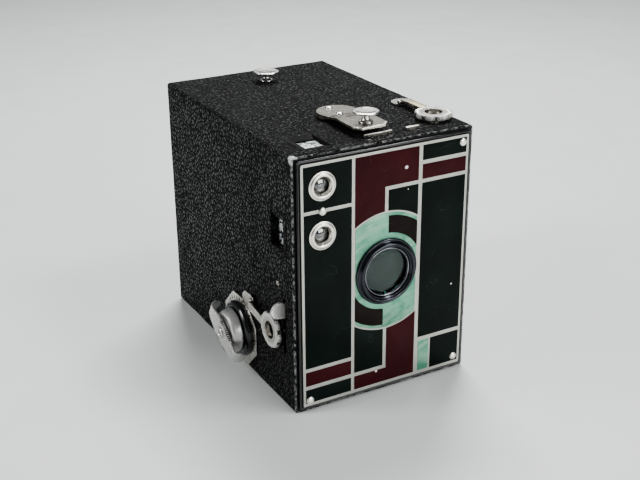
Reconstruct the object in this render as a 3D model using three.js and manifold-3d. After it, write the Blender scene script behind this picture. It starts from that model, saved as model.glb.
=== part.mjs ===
// Box camera for 6 x 9 cm roll film, built as separate pieces.
// Millimetres, +Z up. The origin is the middle of the flat base and the lens looks along -Y.

import * as THREE from 'three';
import { mergeVertices } from 'three/addons/utils/BufferGeometryUtils.js';
import Module from 'manifold-3d';

const wasm = await Module();
wasm.setup();

// ---- Driving dimensions -------------------------------------------------

const WIDTH = 81; // outside the leatherette
const DEPTH = 122.7; // from the enamelled face to the back
const HEIGHT = 108;
const SEAM_DEPTH = 35.7; // the front section ends this far behind the face
const FACE_STEP = 1.8; // the leather edge lies this far behind the face
const SKIN = 0.7; // leatherette thickness
const WALL = 1; // sheet steel of the case
const GAP = 0.1; // between pieces that lie on each other
const PLAY = 0.3; // between pieces that pass through each other

const LENS_Z = 54.4;
const FINDER = { x: -28.75, upperZ: 95.75, lowerZ: 75.85 };
const MIRROR_Y = -45.9; // middle of both finder mirrors

// Each finder window is a hood, shelving to a depth, with an opening through its floor.
const TOP_WINDOW = {
  x: -26.25, y: -45.9, size: [13.4, 17.4], floor: [8.2, 8.4], shift: [1.4, 1], shelf: 1.2, deep: 1.4,
};
const SIDE_WINDOW = {
  z: 75.3, y: -47.5, size: [13.6, 16.6], floor: [9.2, 12.6], shift: [-1.5, -1.3], shelf: 0.6, deep: 3.4,
};

const RUBY = { z: 36, r: 6.5, ring: 8.6 };

const KEY = {
  y: -10.5, z: 16.6, plate: 30.2, chamfer: 8.7, bossR: 12.3, cupR: 9.6, tilt: 30, wing: 29.4, tip: 4.4,
};
const TONGUE = 3; // half-width of the key wing's bent ends
const SPOOL = { y: -10.5, length: 63.5, flangeR: 12.5, coreR: 5.75, supplyZ: 91.1 };
const FRAME = { wide: 57, tall: 83, z: 54, plane: 55.2 }; // one exposure on the film
const ROLLER = { y: 53.5, r: 2.6, lowZ: 5.8, highZ: 102.2 };
const HOLDER_X = 33.2; // inner face of the spool holder's side plates
const HOLDER = { front: -24, back: 57.5, low: 3.2, high: 104.8 };
const CONE = { nose: -15, half: [12, 15] }; // the light cone's front end

const STRIP_Y = -52.2; // the pull-up strips slide in this plane
const STRIP_RISE = 1.2; // how far they stand above the top
const APERTURE = { x: 1, wide: 12.8, pitch: 7, radii: [3.15, 2.25, 1.55] };
const TIME = { x: 16.9, wide: 6.2 };
const LEVER = { x: -22, z: 35.5, y: -51.3, tabZ: 43.1, slot: [23.2, 47.6] };
const DISC = { z: 34.4, r: 25.5, orbit: LENS_Z - 34.4, y: -56.7, turn: 39 };
const SHUTTER = { front: -54.4, rear: -53.6, half: 27, low: 12, high: 68, leg: 1.5 };
const POST_R = 1.6; // the disc and the lever turn on posts
const BRIDGE = { front: -49.6, rear: -48.8, half: 25, low: 44, high: 65 };
const BUSH = { y: -43.5, bore: 3.2, body: 5.5, flange: 7.6, deep: 7 };

const TOP_CATCH = { x: 32, y: -22.9, reach: 21.7, low: 0.15 };
const SIDE_CATCH = { y: -23.9, z: 33.9, reach: 19.4, slope: 8.3, low: 0.75 };
const CATCH = {
  axisH: 1.5, knuckleR: 0.9, ringR: 7.05, ringHole: 3.7, ringLow: 0.9, ringHigh: 2.8, pinH: 0.6,
};

// The strap plate, with the heights of its rear and front parts.
const STRAP = {
  lobeY: -22.6, lobeR: 8.6, headY: -43.2, headHalf: 7.8, neckHalf: 7.5, rear: 2.3, front: 3.5,
};
const STUDS = { rearY: 41.5, frontY: -45 };

const PLATE = { halfX: 37.75, halfZ: 51.2, z: 54, lensHole: 12.6, eyeletHole: 4.6 };
const RIVETS = {
  face_rivet_upper_left: [-28.6, 85.6],
  face_rivet_upper_right: [34.8, 102.3],
  face_rivet_lower_left: [-34.8, 5.5],
  face_rivet_lower_right: [34.4, 6.5],
};

const ROUND = 24; // facets on a turned piece

// ---- Derived places -------------------------------------------------------

const SIDE_X = WIDTH / 2;
const FACE_Y = -DEPTH / 2;
const BACK_Y = DEPTH / 2;
const EDGE_Y = FACE_Y + FACE_STEP;
const SEAM_Y = FACE_Y + SEAM_DEPTH;
const SHELL_X = SIDE_X - SKIN - GAP;
const INNER_X = SHELL_X - WALL;
const SHELL_LOW = SKIN + GAP;
const SHELL_HIGH = HEIGHT - SKIN - GAP;
const INNER_LOW = SHELL_LOW + WALL;
const INNER_HIGH = SHELL_HIGH - WALL;

// ---- Materials ------------------------------------------------------------

function finish(color, roughness, metalness) {
  return new THREE.MeshStandardMaterial({ color, roughness, metalness });
}

const leatherette = finish(0x15161a, 0.5, 0);
const blackSteel = finish(0x1a1a1c, 0.45, 0.4);
const blackGloss = finish(0x0a0a0c, 0.15, 0);
const nickel = finish(0xb9b8b4, 0.28, 1);
const steel = finish(0x8d8f92, 0.4, 1);
const enamel = finish(0x0c1410, 0.1, 0);
const glass = finish(0x9fb5ac, 0.05, 0);
const mirror = finish(0xd8dcdf, 0.03, 1);
const ruby = finish(0x7a0d12, 0.1, 0);
const wood = finish(0x5b4028, 0.7, 0);

// ---- Shaping helpers --------------------------------------------------------

function toSolid(geometry) {
  const bare = geometry.clone();
  bare.deleteAttribute('normal');
  bare.deleteAttribute('uv');
  const merged = mergeVertices(bare, 1e-4);
  const vertProperties = new Float32Array(merged.attributes.position.array);
  const triVerts = new Uint32Array(merged.index.array);
  return new wasm.Manifold(new wasm.Mesh({ numProp: 3, vertProperties, triVerts }));
}

function toGeometry(solid) {
  const mesh = solid.getMesh();
  const geometry = new THREE.BufferGeometry();
  geometry.setAttribute('position', new THREE.BufferAttribute(mesh.vertProperties, 3));
  geometry.setIndex(new THREE.BufferAttribute(mesh.triVerts, 1));
  geometry.computeVertexNormals();
  return geometry;
}

function cut(base, ...tools) {
  return toGeometry(tools.reduce((solid, tool) => solid.subtract(toSolid(tool)), toSolid(base)));
}

function join(first, ...others) {
  return toGeometry(others.reduce((solid, other) => solid.add(toSolid(other)), toSolid(first)));
}

function common(first, second) {
  return toGeometry(toSolid(first).intersect(toSolid(second)));
}

// A block between two opposite corners.
function block(low, high) {
  const [w, d, h] = high.map((value, i) => value - low[i]);
  const middle = high.map((value, i) => (value + low[i]) / 2);
  return new THREE.BoxGeometry(w, d, h).translate(...middle);
}

// A four-sided block that changes size from y0 to y1; each half is [x, z].
function taper(y0, half0, y1, half1, z) {
  const geometry = new THREE.BoxGeometry(2, y1 - y0, 2);
  const place = geometry.attributes.position;
  for (let i = 0; i < place.count; i += 1) {
    const half = place.getY(i) < 0 ? half0 : half1;
    place.setX(i, place.getX(i) * half[0]);
    place.setZ(i, place.getZ(i) * half[1]);
  }
  return geometry.translate(0, (y0 + y1) / 2, z);
}

// A closed outline of [x, y] points, as a plate from z0 to z1.
function plate(points, z0, z1, holes = []) {
  const shape = new THREE.Shape(points.map(([x, y]) => new THREE.Vector2(x, y)));
  shape.holes = holes;
  const options = { depth: z1 - z0, bevelEnabled: false, curveSegments: ROUND / 2 };
  return new THREE.ExtrudeGeometry(shape, options).translate(0, 0, z0);
}

function roundHole(x, y, r) {
  return new THREE.Path().absarc(x, y, r, 0, Math.PI * 2);
}

// A rectangle with its four corners cut off.
function chamfered(x, y, halfX, halfY, chamfer) {
  const corners = [[1, 1], [-1, 1], [-1, -1], [1, -1]];
  return corners.flatMap(([sx, sy]) => {
    const along = [x + sx * (halfX - chamfer), y + sy * halfY];
    const up = [x + sx * halfX, y + sy * (halfY - chamfer)];
    return sx * sy > 0 ? [up, along] : [along, up];
  });
}

// A disc or rod of radius r about a line parallel to an axis.
function rod(axis, centre, r, from, to, facets = ROUND) {
  const geometry = new THREE.CylinderGeometry(r, r, to - from, facets);
  const middle = (from + to) / 2;
  if (axis === 'x') {
    return geometry.rotateZ(Math.PI / 2).translate(middle, centre[0], centre[1]);
  }
  if (axis === 'y') {
    return geometry.translate(centre[0], middle, centre[1]);
  }
  return geometry.rotateX(Math.PI / 2).translate(centre[0], centre[1], middle);
}

// A turned piece about +Z from [radius, height] points.
function turned(profile, facets = ROUND) {
  const points = profile.map(([r, h]) => new THREE.Vector2(r, h));
  return new THREE.LatheGeometry(points, facets).rotateX(Math.PI / 2);
}

function closed(profile) {
  return [...profile, profile[0]];
}

function piece(name, geometry, material) {
  const mesh = new THREE.Mesh(geometry, material);
  mesh.name = name;
  return mesh;
}

function placed(mesh, x, y, z) {
  mesh.position.set(x, y, z);
  return mesh;
}

// A group whose +Z points out of a face of the case.
function faceGroup(across, up, out, position) {
  const group = new THREE.Group();
  group.quaternion.setFromRotationMatrix(new THREE.Matrix4().makeBasis(across, up, out));
  group.position.copy(position);
  return group;
}

const X = new THREE.Vector3(1, 0, 0);
const Y = new THREE.Vector3(0, 1, 0);
const Z = new THREE.Vector3(0, 0, 1);

// ---- Case -------------------------------------------------------------------

const KEY_HOLE = rod('x', [KEY.y, KEY.z], 5.9, -SIDE_X - 1, -INNER_X + 1);
const RUBY_HOLE = rod('y', [0, RUBY.z], RUBY.r, BACK_Y - 5, BACK_Y + 1);

function rearShell() {
  const back = BACK_Y - SKIN - GAP;
  const outer = block([-SHELL_X, SEAM_Y + GAP, SHELL_LOW], [SHELL_X, back, SHELL_HIGH]);
  const hollow = block([-INNER_X, SEAM_Y - 1, INNER_LOW], [INNER_X, back - WALL, INNER_HIGH]);
  return piece('rear_shell', cut(outer, hollow, KEY_HOLE, RUBY_HOLE), blackSteel);
}

function rearLeatherette() {
  const outer = block([-SIDE_X, SEAM_Y + GAP, 0], [SIDE_X, BACK_Y, HEIGHT]);
  const low = [-SHELL_X - GAP, SEAM_Y - 1, SKIN];
  const hollow = block(low, [SHELL_X + GAP, BACK_Y - SKIN, HEIGHT - SKIN]);
  return piece('rear_leatherette', cut(outer, hollow, KEY_HOLE, RUBY_HOLE), leatherette);
}

// Openings that the shell and the leatherette of the front section share.
function frontOpenings() {
  const [topX, topY] = TOP_WINDOW.size.map((value) => value / 2);
  const [sideY, sideZ] = SIDE_WINDOW.size.map((value) => value / 2);
  const top = HEIGHT + 1;
  const slotHalf = 0.9;
  const stripSlot = (strip) => block(
    [strip.x - strip.wide / 2 - PLAY, STRIP_Y - slotHalf, INNER_HIGH - 1],
    [strip.x + strip.wide / 2 + PLAY, STRIP_Y + slotHalf, top],
  );
  return [
    block(
      [TOP_WINDOW.x - topX, TOP_WINDOW.y - topY, INNER_HIGH - 1],
      [TOP_WINDOW.x + topX, TOP_WINDOW.y + topY, top],
    ),
    block(
      [-SIDE_X - 1, SIDE_WINDOW.y - sideY, SIDE_WINDOW.z - sideZ],
      [-INNER_X + 1, SIDE_WINDOW.y + sideY, SIDE_WINDOW.z + sideZ],
    ),
    stripSlot(APERTURE),
    stripSlot(TIME),
    block([-SIDE_X - 1, LEVER.y - 1, LEVER.slot[0]], [-INNER_X + 1, LEVER.y + 1, LEVER.slot[1]]),
    rod('z', [0, BUSH.y], BUSH.body + PLAY, -1, INNER_LOW + 1),
    rod('x', [BUSH.y, LENS_Z], BUSH.body + PLAY, INNER_X - 1, SIDE_X + 1),
  ];
}

function frontShell() {
  const outer = block([-SHELL_X, EDGE_Y + GAP, SHELL_LOW], [SHELL_X, SEAM_Y - GAP, SHELL_HIGH]);
  const hollow = block([-INNER_X, EDGE_Y - 1, INNER_LOW], [INNER_X, SEAM_Y + 1, INNER_HIGH]);
  return piece('front_shell', cut(outer, hollow, ...frontOpenings()), blackSteel);
}

function frontLeatherette() {
  const outer = block([-SIDE_X, EDGE_Y, 0], [SIDE_X, SEAM_Y - GAP, HEIGHT]);
  const inner = SHELL_X + GAP;
  const hollow = block([-inner, EDGE_Y - 1, SKIN], [inner, SEAM_Y + 1, HEIGHT - SKIN]);
  return piece('front_leatherette', cut(outer, hollow, ...frontOpenings()), leatherette);
}

// The sleeve that keeps light out of the seam.
function lightTrapSleeve() {
  const outX = INNER_X - PLAY;
  const thick = 0.8;
  const [y0, y1] = [SEAM_Y - 9.5, SEAM_Y + 8];
  const low = INNER_LOW + PLAY;
  const high = INNER_HIGH - PLAY;
  const outer = block([-outX, y0, low], [outX, y1, high]);
  const inner = block([-outX + thick, y0 - 1, low + thick], [outX - thick, y1 + 1, high - thick]);
  return piece('light_trap_sleeve', cut(outer, inner), blackSteel);
}

function rubyWindow() {
  const y = BACK_Y - SKIN - GAP - WALL;
  return piece('ruby_window', rod('y', [0, RUBY.z], RUBY.r - PLAY, y, y + WALL), ruby);
}

function rubyWindowRing() {
  const ring = turned(closed([[5.4, 0.1], [RUBY.ring, 0.1], [RUBY.ring - 0.4, 0.7], [5.9, 0.7]]));
  const mesh = piece('ruby_window_ring', ring.rotateX(-Math.PI / 2), nickel);
  return placed(mesh, 0, BACK_Y, RUBY.z);
}

// ---- Film holder --------------------------------------------------------------

function lightCone() {
  const nose = CONE.nose;
  const gate = FRAME.plane - 1;
  const gateHalf = [FRAME.wide / 2, FRAME.tall / 2];
  const beyond = 1.01;
  const grow = (half) => half.map((value) => value + 1);
  const outer = taper(nose, grow(CONE.half), gate, grow(gateHalf), FRAME.z);
  const flange = block(
    [-HOLDER_X + 0.2, gate - GAP, FRAME.z - gateHalf[1] - 3],
    [HOLDER_X - 0.2, FRAME.plane, FRAME.z + gateHalf[1] + 3],
  );
  const slope = gateHalf.map((value, i) => (value - CONE.half[i]) / (gate - nose));
  const short = CONE.half.map((value, i) => value - slope[i] * beyond);
  const inner = taper(nose - beyond, short, gate + GAP / 2, gateHalf, FRAME.z);
  const window = block(
    [-gateHalf[0], gate - 1, FRAME.z - gateHalf[1]],
    [gateHalf[0], FRAME.plane + 1, FRAME.z + gateHalf[1]],
  );
  return piece('light_cone', cut(join(outer, flange), inner, window), blackSteel);
}

function holderPlate(side, name) {
  const [low, high] = side < 0 ? [-HOLDER_X - 1, -HOLDER_X] : [HOLDER_X, HOLDER_X + 1];
  const body = block([low, HOLDER.front, HOLDER.low], [high, HOLDER.back, HOLDER.high]);
  const hole = (y, z, r) => rod('x', [y, z], r, low - 1, high + 1, 20);
  const keyR = side < 0 ? 3.6 : 2.9;
  const holes = [
    hole(SPOOL.y, KEY.z, keyR),
    hole(SPOOL.y, SPOOL.supplyZ, 2.9),
    hole(ROLLER.y, ROLLER.lowZ, 1.5),
    hole(ROLLER.y, ROLLER.highZ, 1.5),
  ];
  return piece(name, cut(body, ...holes), blackSteel);
}

// A pin that a spool turns on, with its head outside the plate.
function spoolPin(name, side, z) {
  const pin = turned([[0, -4.2], [2, -4.2], [2.6, -3.6], [2.6, 1.15], [4, 1.15], [4, 2.1], [0, 2.1]], 20);
  const mesh = piece(name, pin.rotateY((side * Math.PI) / 2), steel);
  return placed(mesh, side * HOLDER_X, SPOOL.y, z);
}

function takeupSpool() {
  const half = SPOOL.length / 2;
  const { coreR, flangeR } = SPOOL;
  const body = turned([
    [0, -half], [flangeR, -half], [flangeR, 1 - half], [coreR, 1 - half],
    [coreR, half - 1], [flangeR, half - 1], [flangeR, half], [0, half],
  ]).rotateY(Math.PI / 2);
  const slot = block([-half - 1, -0.9, -3.6], [3.2 - half, 0.9, 3.6]);
  const socket = rod('x', [0, 0], 3, half - 5, half + 1, 20);
  const spool = placed(piece('takeup_spool', cut(body, slot, socket), wood), 0, SPOOL.y, KEY.z);
  spool.rotation.x = THREE.MathUtils.degToRad(KEY.tilt - 90);
  return spool;
}

function filmRoller(name, z) {
  const half = HOLDER_X - 0.5;
  const journal = HOLDER_X + 1;
  const body = turned([
    [0, -journal], [1.2, -journal], [1.2, -half], [ROLLER.r, -half],
    [ROLLER.r, half], [1.2, half], [1.2, journal], [0, journal],
  ], 20).rotateY(Math.PI / 2);
  return placed(piece(name, body, nickel), 0, ROLLER.y, z);
}

// ---- Winding key, in the frame of the left face -------------------------------

function keyEscutcheon() {
  const half = KEY.plate / 2;
  const outline = chamfered(0, 0, half, half, KEY.chamfer);
  return piece('key_escutcheon', plate(outline, 0.1, 0.6, [roundHole(0, 0, 5.9)]), nickel);
}

function keyBoss() {
  const r = KEY.bossR;
  const profile = [[5.4, 0.7], [r, 0.7], [r, 1.9], [r - 0.4, 2.8], [r - 1.3, 3.3], [5.4, 3.3]];
  return piece('key_boss', turned(closed(profile), 28), blackGloss);
}

function keyCup() {
  const r = KEY.cupR;
  const neck = 4.9;
  const profile = [[2.9, 0.8], [neck, 0.8], [neck, 3.6], [r, 3.6], [r - 0.9, 7.4], [r - 1.6, 8], [2.9, 8]];
  return piece('key_cup', turned(closed(profile)), nickel);
}

// The wing narrows to a rounded tongue at each end, bent down towards the case.
function keyWing() {
  const end = KEY.wing / 2;
  const { tip } = KEY;
  const side = [
    [-end, tip], [1.1 - end, tip], [1.6 - end, 7.8], [3.4 - end, 8.9], [end - 3.4, 8.9],
    [end - 1.6, 7.8], [end - 1.1, tip], [end, tip], [end - 0.4, 8.1], [end - 2.6, 10], [2.6 - end, 10],
    [0.4 - end, 8.1],
  ];
  const bar = plate(side, -7, 7).rotateX(Math.PI / 2);
  const outline = new THREE.Shape();
  outline.moveTo(end + 1, -TONGUE);
  outline.lineTo(end + 1, TONGUE);
  outline.bezierCurveTo(end - 5, TONGUE, end - 7, 5.2, 0, 5.4);
  outline.bezierCurveTo(7 - end, 5.2, 5 - end, TONGUE, -end - 1, TONGUE);
  outline.lineTo(-end - 1, -TONGUE);
  outline.bezierCurveTo(5 - end, -TONGUE, 7 - end, -5.2, 0, -5.4);
  outline.bezierCurveTo(end - 7, -5.2, end - 5, -TONGUE, end + 1, -TONGUE);
  const leaf = new THREE.ExtrudeGeometry(outline, { depth: 9, bevelEnabled: false, curveSegments: 7 });
  const ends = join(
    rod('x', [0, tip + TONGUE], TONGUE, -end - 1, end + 1),
    block([-end - 1, -8, tip + TONGUE], [end + 1, 8, 12]),
  );
  const hole = rod('z', [0, 0], 1.9, 5, 14, 16);
  const body = common(common(bar, leaf.translate(0, 0, 4)), ends);
  return piece('key_wing', cut(body, hole), nickel);
}

// The shaft ends in a blade that fits the spool's slot.
function keyShaft() {
  const depth = SIDE_X - SPOOL.length / 2;
  const stem = turned([[0, -depth + 1.4], [2.5, -depth + 1.4], [2.5, 8.6], [0, 8.6]], 20);
  const blade = block([-2.7, -0.6, -depth - 2.6], [2.7, 0.6, -depth + 3]);
  return piece('key_shaft', join(stem, blade), steel);
}

function keyRivet() {
  const profile = [[0.8, 8.8], [1.6, 8.8], [1.6, 10.1], [2.5, 10.1], [2.3, 10.6], [0.9, 10.6]];
  return piece('key_rivet', turned(closed(profile), 16), nickel);
}

// ---- Strap fittings -----------------------------------------------------------

// A mushroom stud from a foot at height 0.
function strapStud(name, height, capR, footR) {
  const under = height - 1;
  const profile = [
    [0, 0], [footR, 0], [footR, 0.5], [footR - 0.8, 0.9], [1.7, 1], [1.4, 1.6], [1.5, under - 0.4],
    [capR - 0.4, under], [capR, under + 0.3], [capR - 0.2, under + 0.6], [capR * 0.5, height], [0, height],
  ];
  return piece(name, turned(profile, 16), nickel);
}

// The plate is riveted to the rear section and floats over the front one.
function strapPlate() {
  const s = STRAP;
  const profile = [
    [-s.lobeY - s.lobeR - 1, 0.3], [-SEAM_Y - 1, 0.3], [-SEAM_Y + 8, s.front - 1.1], [53, s.front - 1.1],
    [53, s.front], [-SEAM_Y + 9, s.front], [-SEAM_Y + 2, s.rear], [-s.lobeY - s.lobeR - 1, s.rear],
  ];
  const side = plate(profile, -12, 12).rotateX(Math.PI / 2).rotateZ(-Math.PI / 2);
  const lobe = rod('z', [0, s.lobeY], s.lobeR, 0, 5, 24);
  const neck = block([-s.neckHalf, s.headY, 0], [s.neckHalf, s.lobeY, 5]);
  const head = plate(chamfered(0, s.headY, s.headHalf, s.headHalf, 2.8), 0, 5);
  return placed(piece('strap_plate', common(side, join(lobe, neck, head)), nickel), 0, 0, HEIGHT);
}

// ---- Ring catches, hinged at the origin, the ring towards -Y --------------------

function catchBase(name, outline, low) {
  const [near, far] = [1.8, 2.7];
  const body = cut(plate(outline, low, low + 0.6), block([-near, -3, 0], [near, 1.4, 3]));
  const ear = (x0, x1) => join(
    rod('x', [0, CATCH.axisH], CATCH.knuckleR, x0, x1, 14),
    block([x0, -0.7, low + 0.1], [x1, 0.7, CATCH.axisH]),
  );
  const pin = rod('x', [0, CATCH.axisH], 0.45, -near - 0.3, near + 0.3, 12);
  return piece(name, join(body, ear(-far, -near), ear(near, far), pin), nickel);
}

function catchRing(name, reach) {
  const { axisH, knuckleR, ringR, ringHole, ringLow, ringHigh } = CATCH;
  const arm = block([-1.5, -3.4, ringHigh - 1], [1.5, 0.3, ringHigh - 0.2]);
  const strip = block([-1.9, ringHole - reach, ringHigh - 1], [1.9, -3.2, ringHigh]);
  const knuckle = rod('x', [0, axisH], knuckleR, -1.5, 1.5, 14);
  const ring = plate(chamfered(0, -reach, ringR, ringR, ringR * 0.586), ringLow, ringHigh);
  const bore = rod('z', [0, -reach], ringHole, 0, 6, 24);
  const pinHole = rod('x', [0, axisH], 0.72, -4, 4, 12);
  return piece(name, cut(join(knuckle, arm, strip, ring), bore, pinHole), nickel);
}

function roundOutline(x, y, r, count) {
  return Array.from({ length: count }, (_, i) => {
    const angle = ((i + 0.5) * 2 * Math.PI) / count;
    return [x + r * Math.cos(angle), y + r * Math.sin(angle)];
  });
}

function catchStud(name) {
  const profile = [[0, 0.1], [2.4, 0.1], [2.3, 0.4], [1.4, CATCH.pinH], [0, CATCH.pinH]];
  return piece(name, turned(profile, 20), nickel);
}

// ---- Front board, in the frame of the front face --------------------------------

// A sheet of the plate's outline, less an inset, with holes for the lens and the finders.
function faceSheet(inset, low, high) {
  const outline = chamfered(0, PLATE.z, PLATE.halfX - inset, PLATE.halfZ - inset, 0.4);
  const holes = [
    roundHole(0, LENS_Z, PLATE.lensHole),
    roundHole(FINDER.x, FINDER.upperZ, PLATE.eyeletHole),
    roundHole(FINDER.x, FINDER.lowerZ, PLATE.eyeletHole),
  ];
  return plate(outline, low, high, holes);
}

// The bead that frames the enamelled plate.
function faceRim() {
  const inset = [1.4, 2.45];
  const [outX, inX] = inset.map((value) => SIDE_X - value);
  const [outZ, inZ] = inset.map((value) => HEIGHT / 2 - value);
  const outer = plate(chamfered(0, PLATE.z, outX, outZ, 0.6), -1.7, -0.3);
  const inner = plate(chamfered(0, PLATE.z, inX, inZ, 0.5), -3, 1);
  return piece('face_rim', cut(outer, inner), blackGloss);
}

function lensRing() {
  const profile = [
    [12.2, GAP], [14, GAP], [14, 0.9], [13.7, 1.3], [12.8, 1.6], [12.5, 2.1], [12, 2.4], [11.2, 2.3],
    [10.8, 1.9], [10.5, 1.3], [10.5, -3], [12.2, -3],
  ];
  return placed(piece('lens_ring', turned(closed(profile), 36), blackGloss), 0, LENS_Z, 0);
}

function lensRetainer() {
  const profile = [[9.5, 0.1], [10.2, 0.1], [10.2, 1.1], [9.8, 1.1]];
  return placed(piece('lens_retainer', turned(closed(profile)), steel), 0, LENS_Z, 0);
}

function frontLens() {
  const profile = [[0, -1.2], [5, -1.4], [10.1, -1.8], [10.1, -0.5], [7.5, 0.1], [4, 0.5], [0, 0.6]];
  return placed(piece('front_lens', turned(profile), glass), 0, LENS_Z, 0);
}

function faceRivet([name, [x, z]]) {
  const dome = turned([[0, 0.1], [1.6, 0.1], [1.5, 0.6], [0.9, 1], [0, 1.15]], 16);
  return placed(piece(name, dome, nickel), x, z, 0);
}

function finderEyelet(name, z) {
  const profile = [
    [4.3, GAP], [5.75, GAP], [5.65, 0.5], [5, 1], [4.2, 1.1], [3.3, 0.7], [3.1, 0.2], [3.1, -0.4],
    [3.8, -0.4], [3.8, -3.4], [4.3, -3.4],
  ];
  return placed(piece(name, turned(closed(profile)), nickel), FINDER.x, z, 0);
}

function finderLens(name, z) {
  const lens = turned([[0, -2.1], [3.5, -2.1], [3.5, -1.5], [2, -0.9], [0, -0.7]], 16);
  return placed(piece(name, lens, glass), FINDER.x, z, 0);
}

// ---- Finders --------------------------------------------------------------------

// A shelving recess that closes in from its mouth to its floor; all sizes are [across, along].
function shelving(mouth, floor, shift, depth) {
  const shape = new THREE.BoxGeometry(1, 1, depth + 0.02);
  const place = shape.attributes.position;
  for (let i = 0; i < place.count; i += 1) {
    const size = place.getZ(i) > 0 ? mouth : floor;
    const move = place.getZ(i) > 0 ? [0, 0] : shift;
    place.setX(i, place.getX(i) * size[0] + move[0]);
    place.setY(i, place.getY(i) * size[1] + move[1]);
  }
  return shape.translate(0, 0, -depth / 2);
}

// A block round a point, between two heights.
function blockRound([x, y], [halfX, halfY], low, high) {
  return block([x - halfX, y - halfY, low], [x + halfX, y + halfY, high]);
}

function finderHood(name, { size, floor, shift, shelf, deep }) {
  const half = size.map((value) => value / 2 - 0.2);
  const outer = blockRound([0, 0], half, -deep, 0);
  const mouth = half.map((value) => value * 2 - 1);
  const opening = blockRound(shift, floor.map((value) => value / 2), -deep - 1, -shelf + 0.005);
  return piece(name, cut(outer, shelving(mouth, floor, shift, shelf), opening), blackSteel);
}

function finderGlass(name, { floor, shift, deep }) {
  const half = floor.map((value) => value / 2 + 0.8);
  return piece(name, blockRound(shift, half, -deep - 1, -deep - 0.2), glass);
}

function finderMirror(name) {
  return piece(name, block([-6, -7.5, -0.5], [6, 7.5, 0.5]), mirror);
}

// ---- Shutter ----------------------------------------------------------------------

function shutterPlate() {
  const { front, rear, half, low, high, leg } = SHUTTER;
  const body = block([-half, front, low], [half, rear, high]);
  const corners = [-1, 1].flatMap((side) => [[side, low + leg], [side, high - leg]]);
  const legs = corners.map(([side, z]) => block(
    [side * (half - leg) - 1.2, EDGE_Y + 0.65, z - 1.2],
    [side * (half - leg) + 1.2, front + 0.1, z + 1.2],
  ));
  const discPost = rod('y', [0, DISC.z], POST_R, DISC.y - 1.1, front + 0.1, 16);
  const leverPost = rod('y', [LEVER.x, LEVER.z], POST_R, rear - 0.1, LEVER.y + 1.2, 16);
  const light = rod('y', [0, LENS_Z], 5.2, front - 1, rear + 1, 24);
  return piece('shutter_plate', cut(join(body, discPost, leverPost, ...legs), light), steel);
}

// The disc carries an opening that crosses the lens as the disc turns.
function shutterDisc() {
  const outline = new THREE.Shape().absarc(0, 0, DISC.r, 0, Math.PI * 2);
  const centre = Math.PI / 2 - THREE.MathUtils.degToRad(DISC.turn);
  const spread = THREE.MathUtils.degToRad(7);
  const half = 4.4;
  const opening = new THREE.Path();
  opening.absarc(0, 0, DISC.orbit + half, centre - spread, centre + spread, false);
  opening.absarc(0, 0, DISC.orbit - half, centre + spread, centre - spread, true);
  opening.closePath();
  outline.holes = [roundHole(0, 0, POST_R + PLAY), opening];
  const body = new THREE.ExtrudeGeometry(outline, { depth: 0.6, bevelEnabled: false, curveSegments: 14 });
  body.translate(0, 0, -0.3).rotateX(Math.PI / 2);
  return placed(piece('shutter_disc', body, blackSteel), 0, DISC.y, DISC.z);
}

// Hub, arm and the half-round thumb tab outside the case.
function shutterLever() {
  const edge = -SIDE_X - 0.5 - LEVER.x;
  const rise = LEVER.tabZ - LEVER.z;
  const tab = new THREE.Shape();
  tab.moveTo(edge, rise + 2.9);
  tab.bezierCurveTo(edge - 1.2, rise + 4.6, edge - 5.5, rise + 3.4, edge - 5.4, rise - 0.4);
  tab.bezierCurveTo(edge - 5.2, rise - 2.8, edge - 3.4, rise - 3.6, edge, rise - 3.6);
  tab.lineTo(edge + 4, rise - 3.9);
  tab.lineTo(-2, -2.6);
  tab.lineTo(-2, 3);
  tab.lineTo(edge + 4, rise + 1.2);
  const options = { depth: 1, bevelEnabled: false, curveSegments: 7 };
  const arm = new THREE.ExtrudeGeometry(tab, options).translate(0, 0, -0.5).rotateX(Math.PI / 2);
  const hub = rod('y', [0, 0], 3.8, -0.5, 0.5, 20);
  const bore = rod('y', [0, 0], POST_R + PLAY, -2, 2, 16);
  return placed(piece('shutter_lever', cut(join(arm, hub), bore), nickel), LEVER.x, LEVER.y, LEVER.z);
}

// A pull-up strip with a row of stops in it.
function apertureStrip() {
  const low = LENS_Z - 2 * APERTURE.pitch - 4.5;
  const top = HEIGHT + STRIP_RISE;
  const half = APERTURE.wide / 2;
  const body = block([-half, -0.4, low], [half, 0.4, top]);
  const stop = (r, i) => rod('y', [-APERTURE.x, LENS_Z - i * APERTURE.pitch], r, -2, 2, 20);
  const stops = APERTURE.radii.map(stop);
  return placed(piece('aperture_strip', cut(body, ...stops), nickel), APERTURE.x, STRIP_Y, 0);
}

// The time strip ends in a hook that holds the disc open.
function timeStrip() {
  const top = HEIGHT + STRIP_RISE;
  const half = TIME.wide / 2;
  const body = block([-half, -0.4, 70], [half, 0.4, top]);
  const hook = block([-half, -0.4, 64], [half - 4, 0.4, 70.5]);
  return placed(piece('time_strip', join(body, hook), nickel), TIME.x, STRIP_Y, 0);
}

function rearLensBridge() {
  const { front, rear, half, low, high } = BRIDGE;
  const body = block([-half, front, low], [half, rear, high]);
  const leg = (x) => block([x - 1, SHUTTER.rear + 0.2, low + 2], [x + 1, front + 0.1, high - 2]);
  const opening = rod('y', [0, LENS_Z], 6.4, front - 1, rear + 1, 24);
  return piece('rear_lens_bridge', cut(join(body, leg(1 - half), leg(half - 1)), opening), steel);
}

function rearLens() {
  const profile = [[0, -1.5], [4, -1.2], [8, -0.4], [8, 0.6], [4, 0.9], [0, 1]];
  const lens = turned(profile, 20).rotateX(Math.PI / 2);
  return placed(piece('rear_lens', lens, glass), 0, BRIDGE.rear + 0.8, LENS_Z);
}

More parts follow.
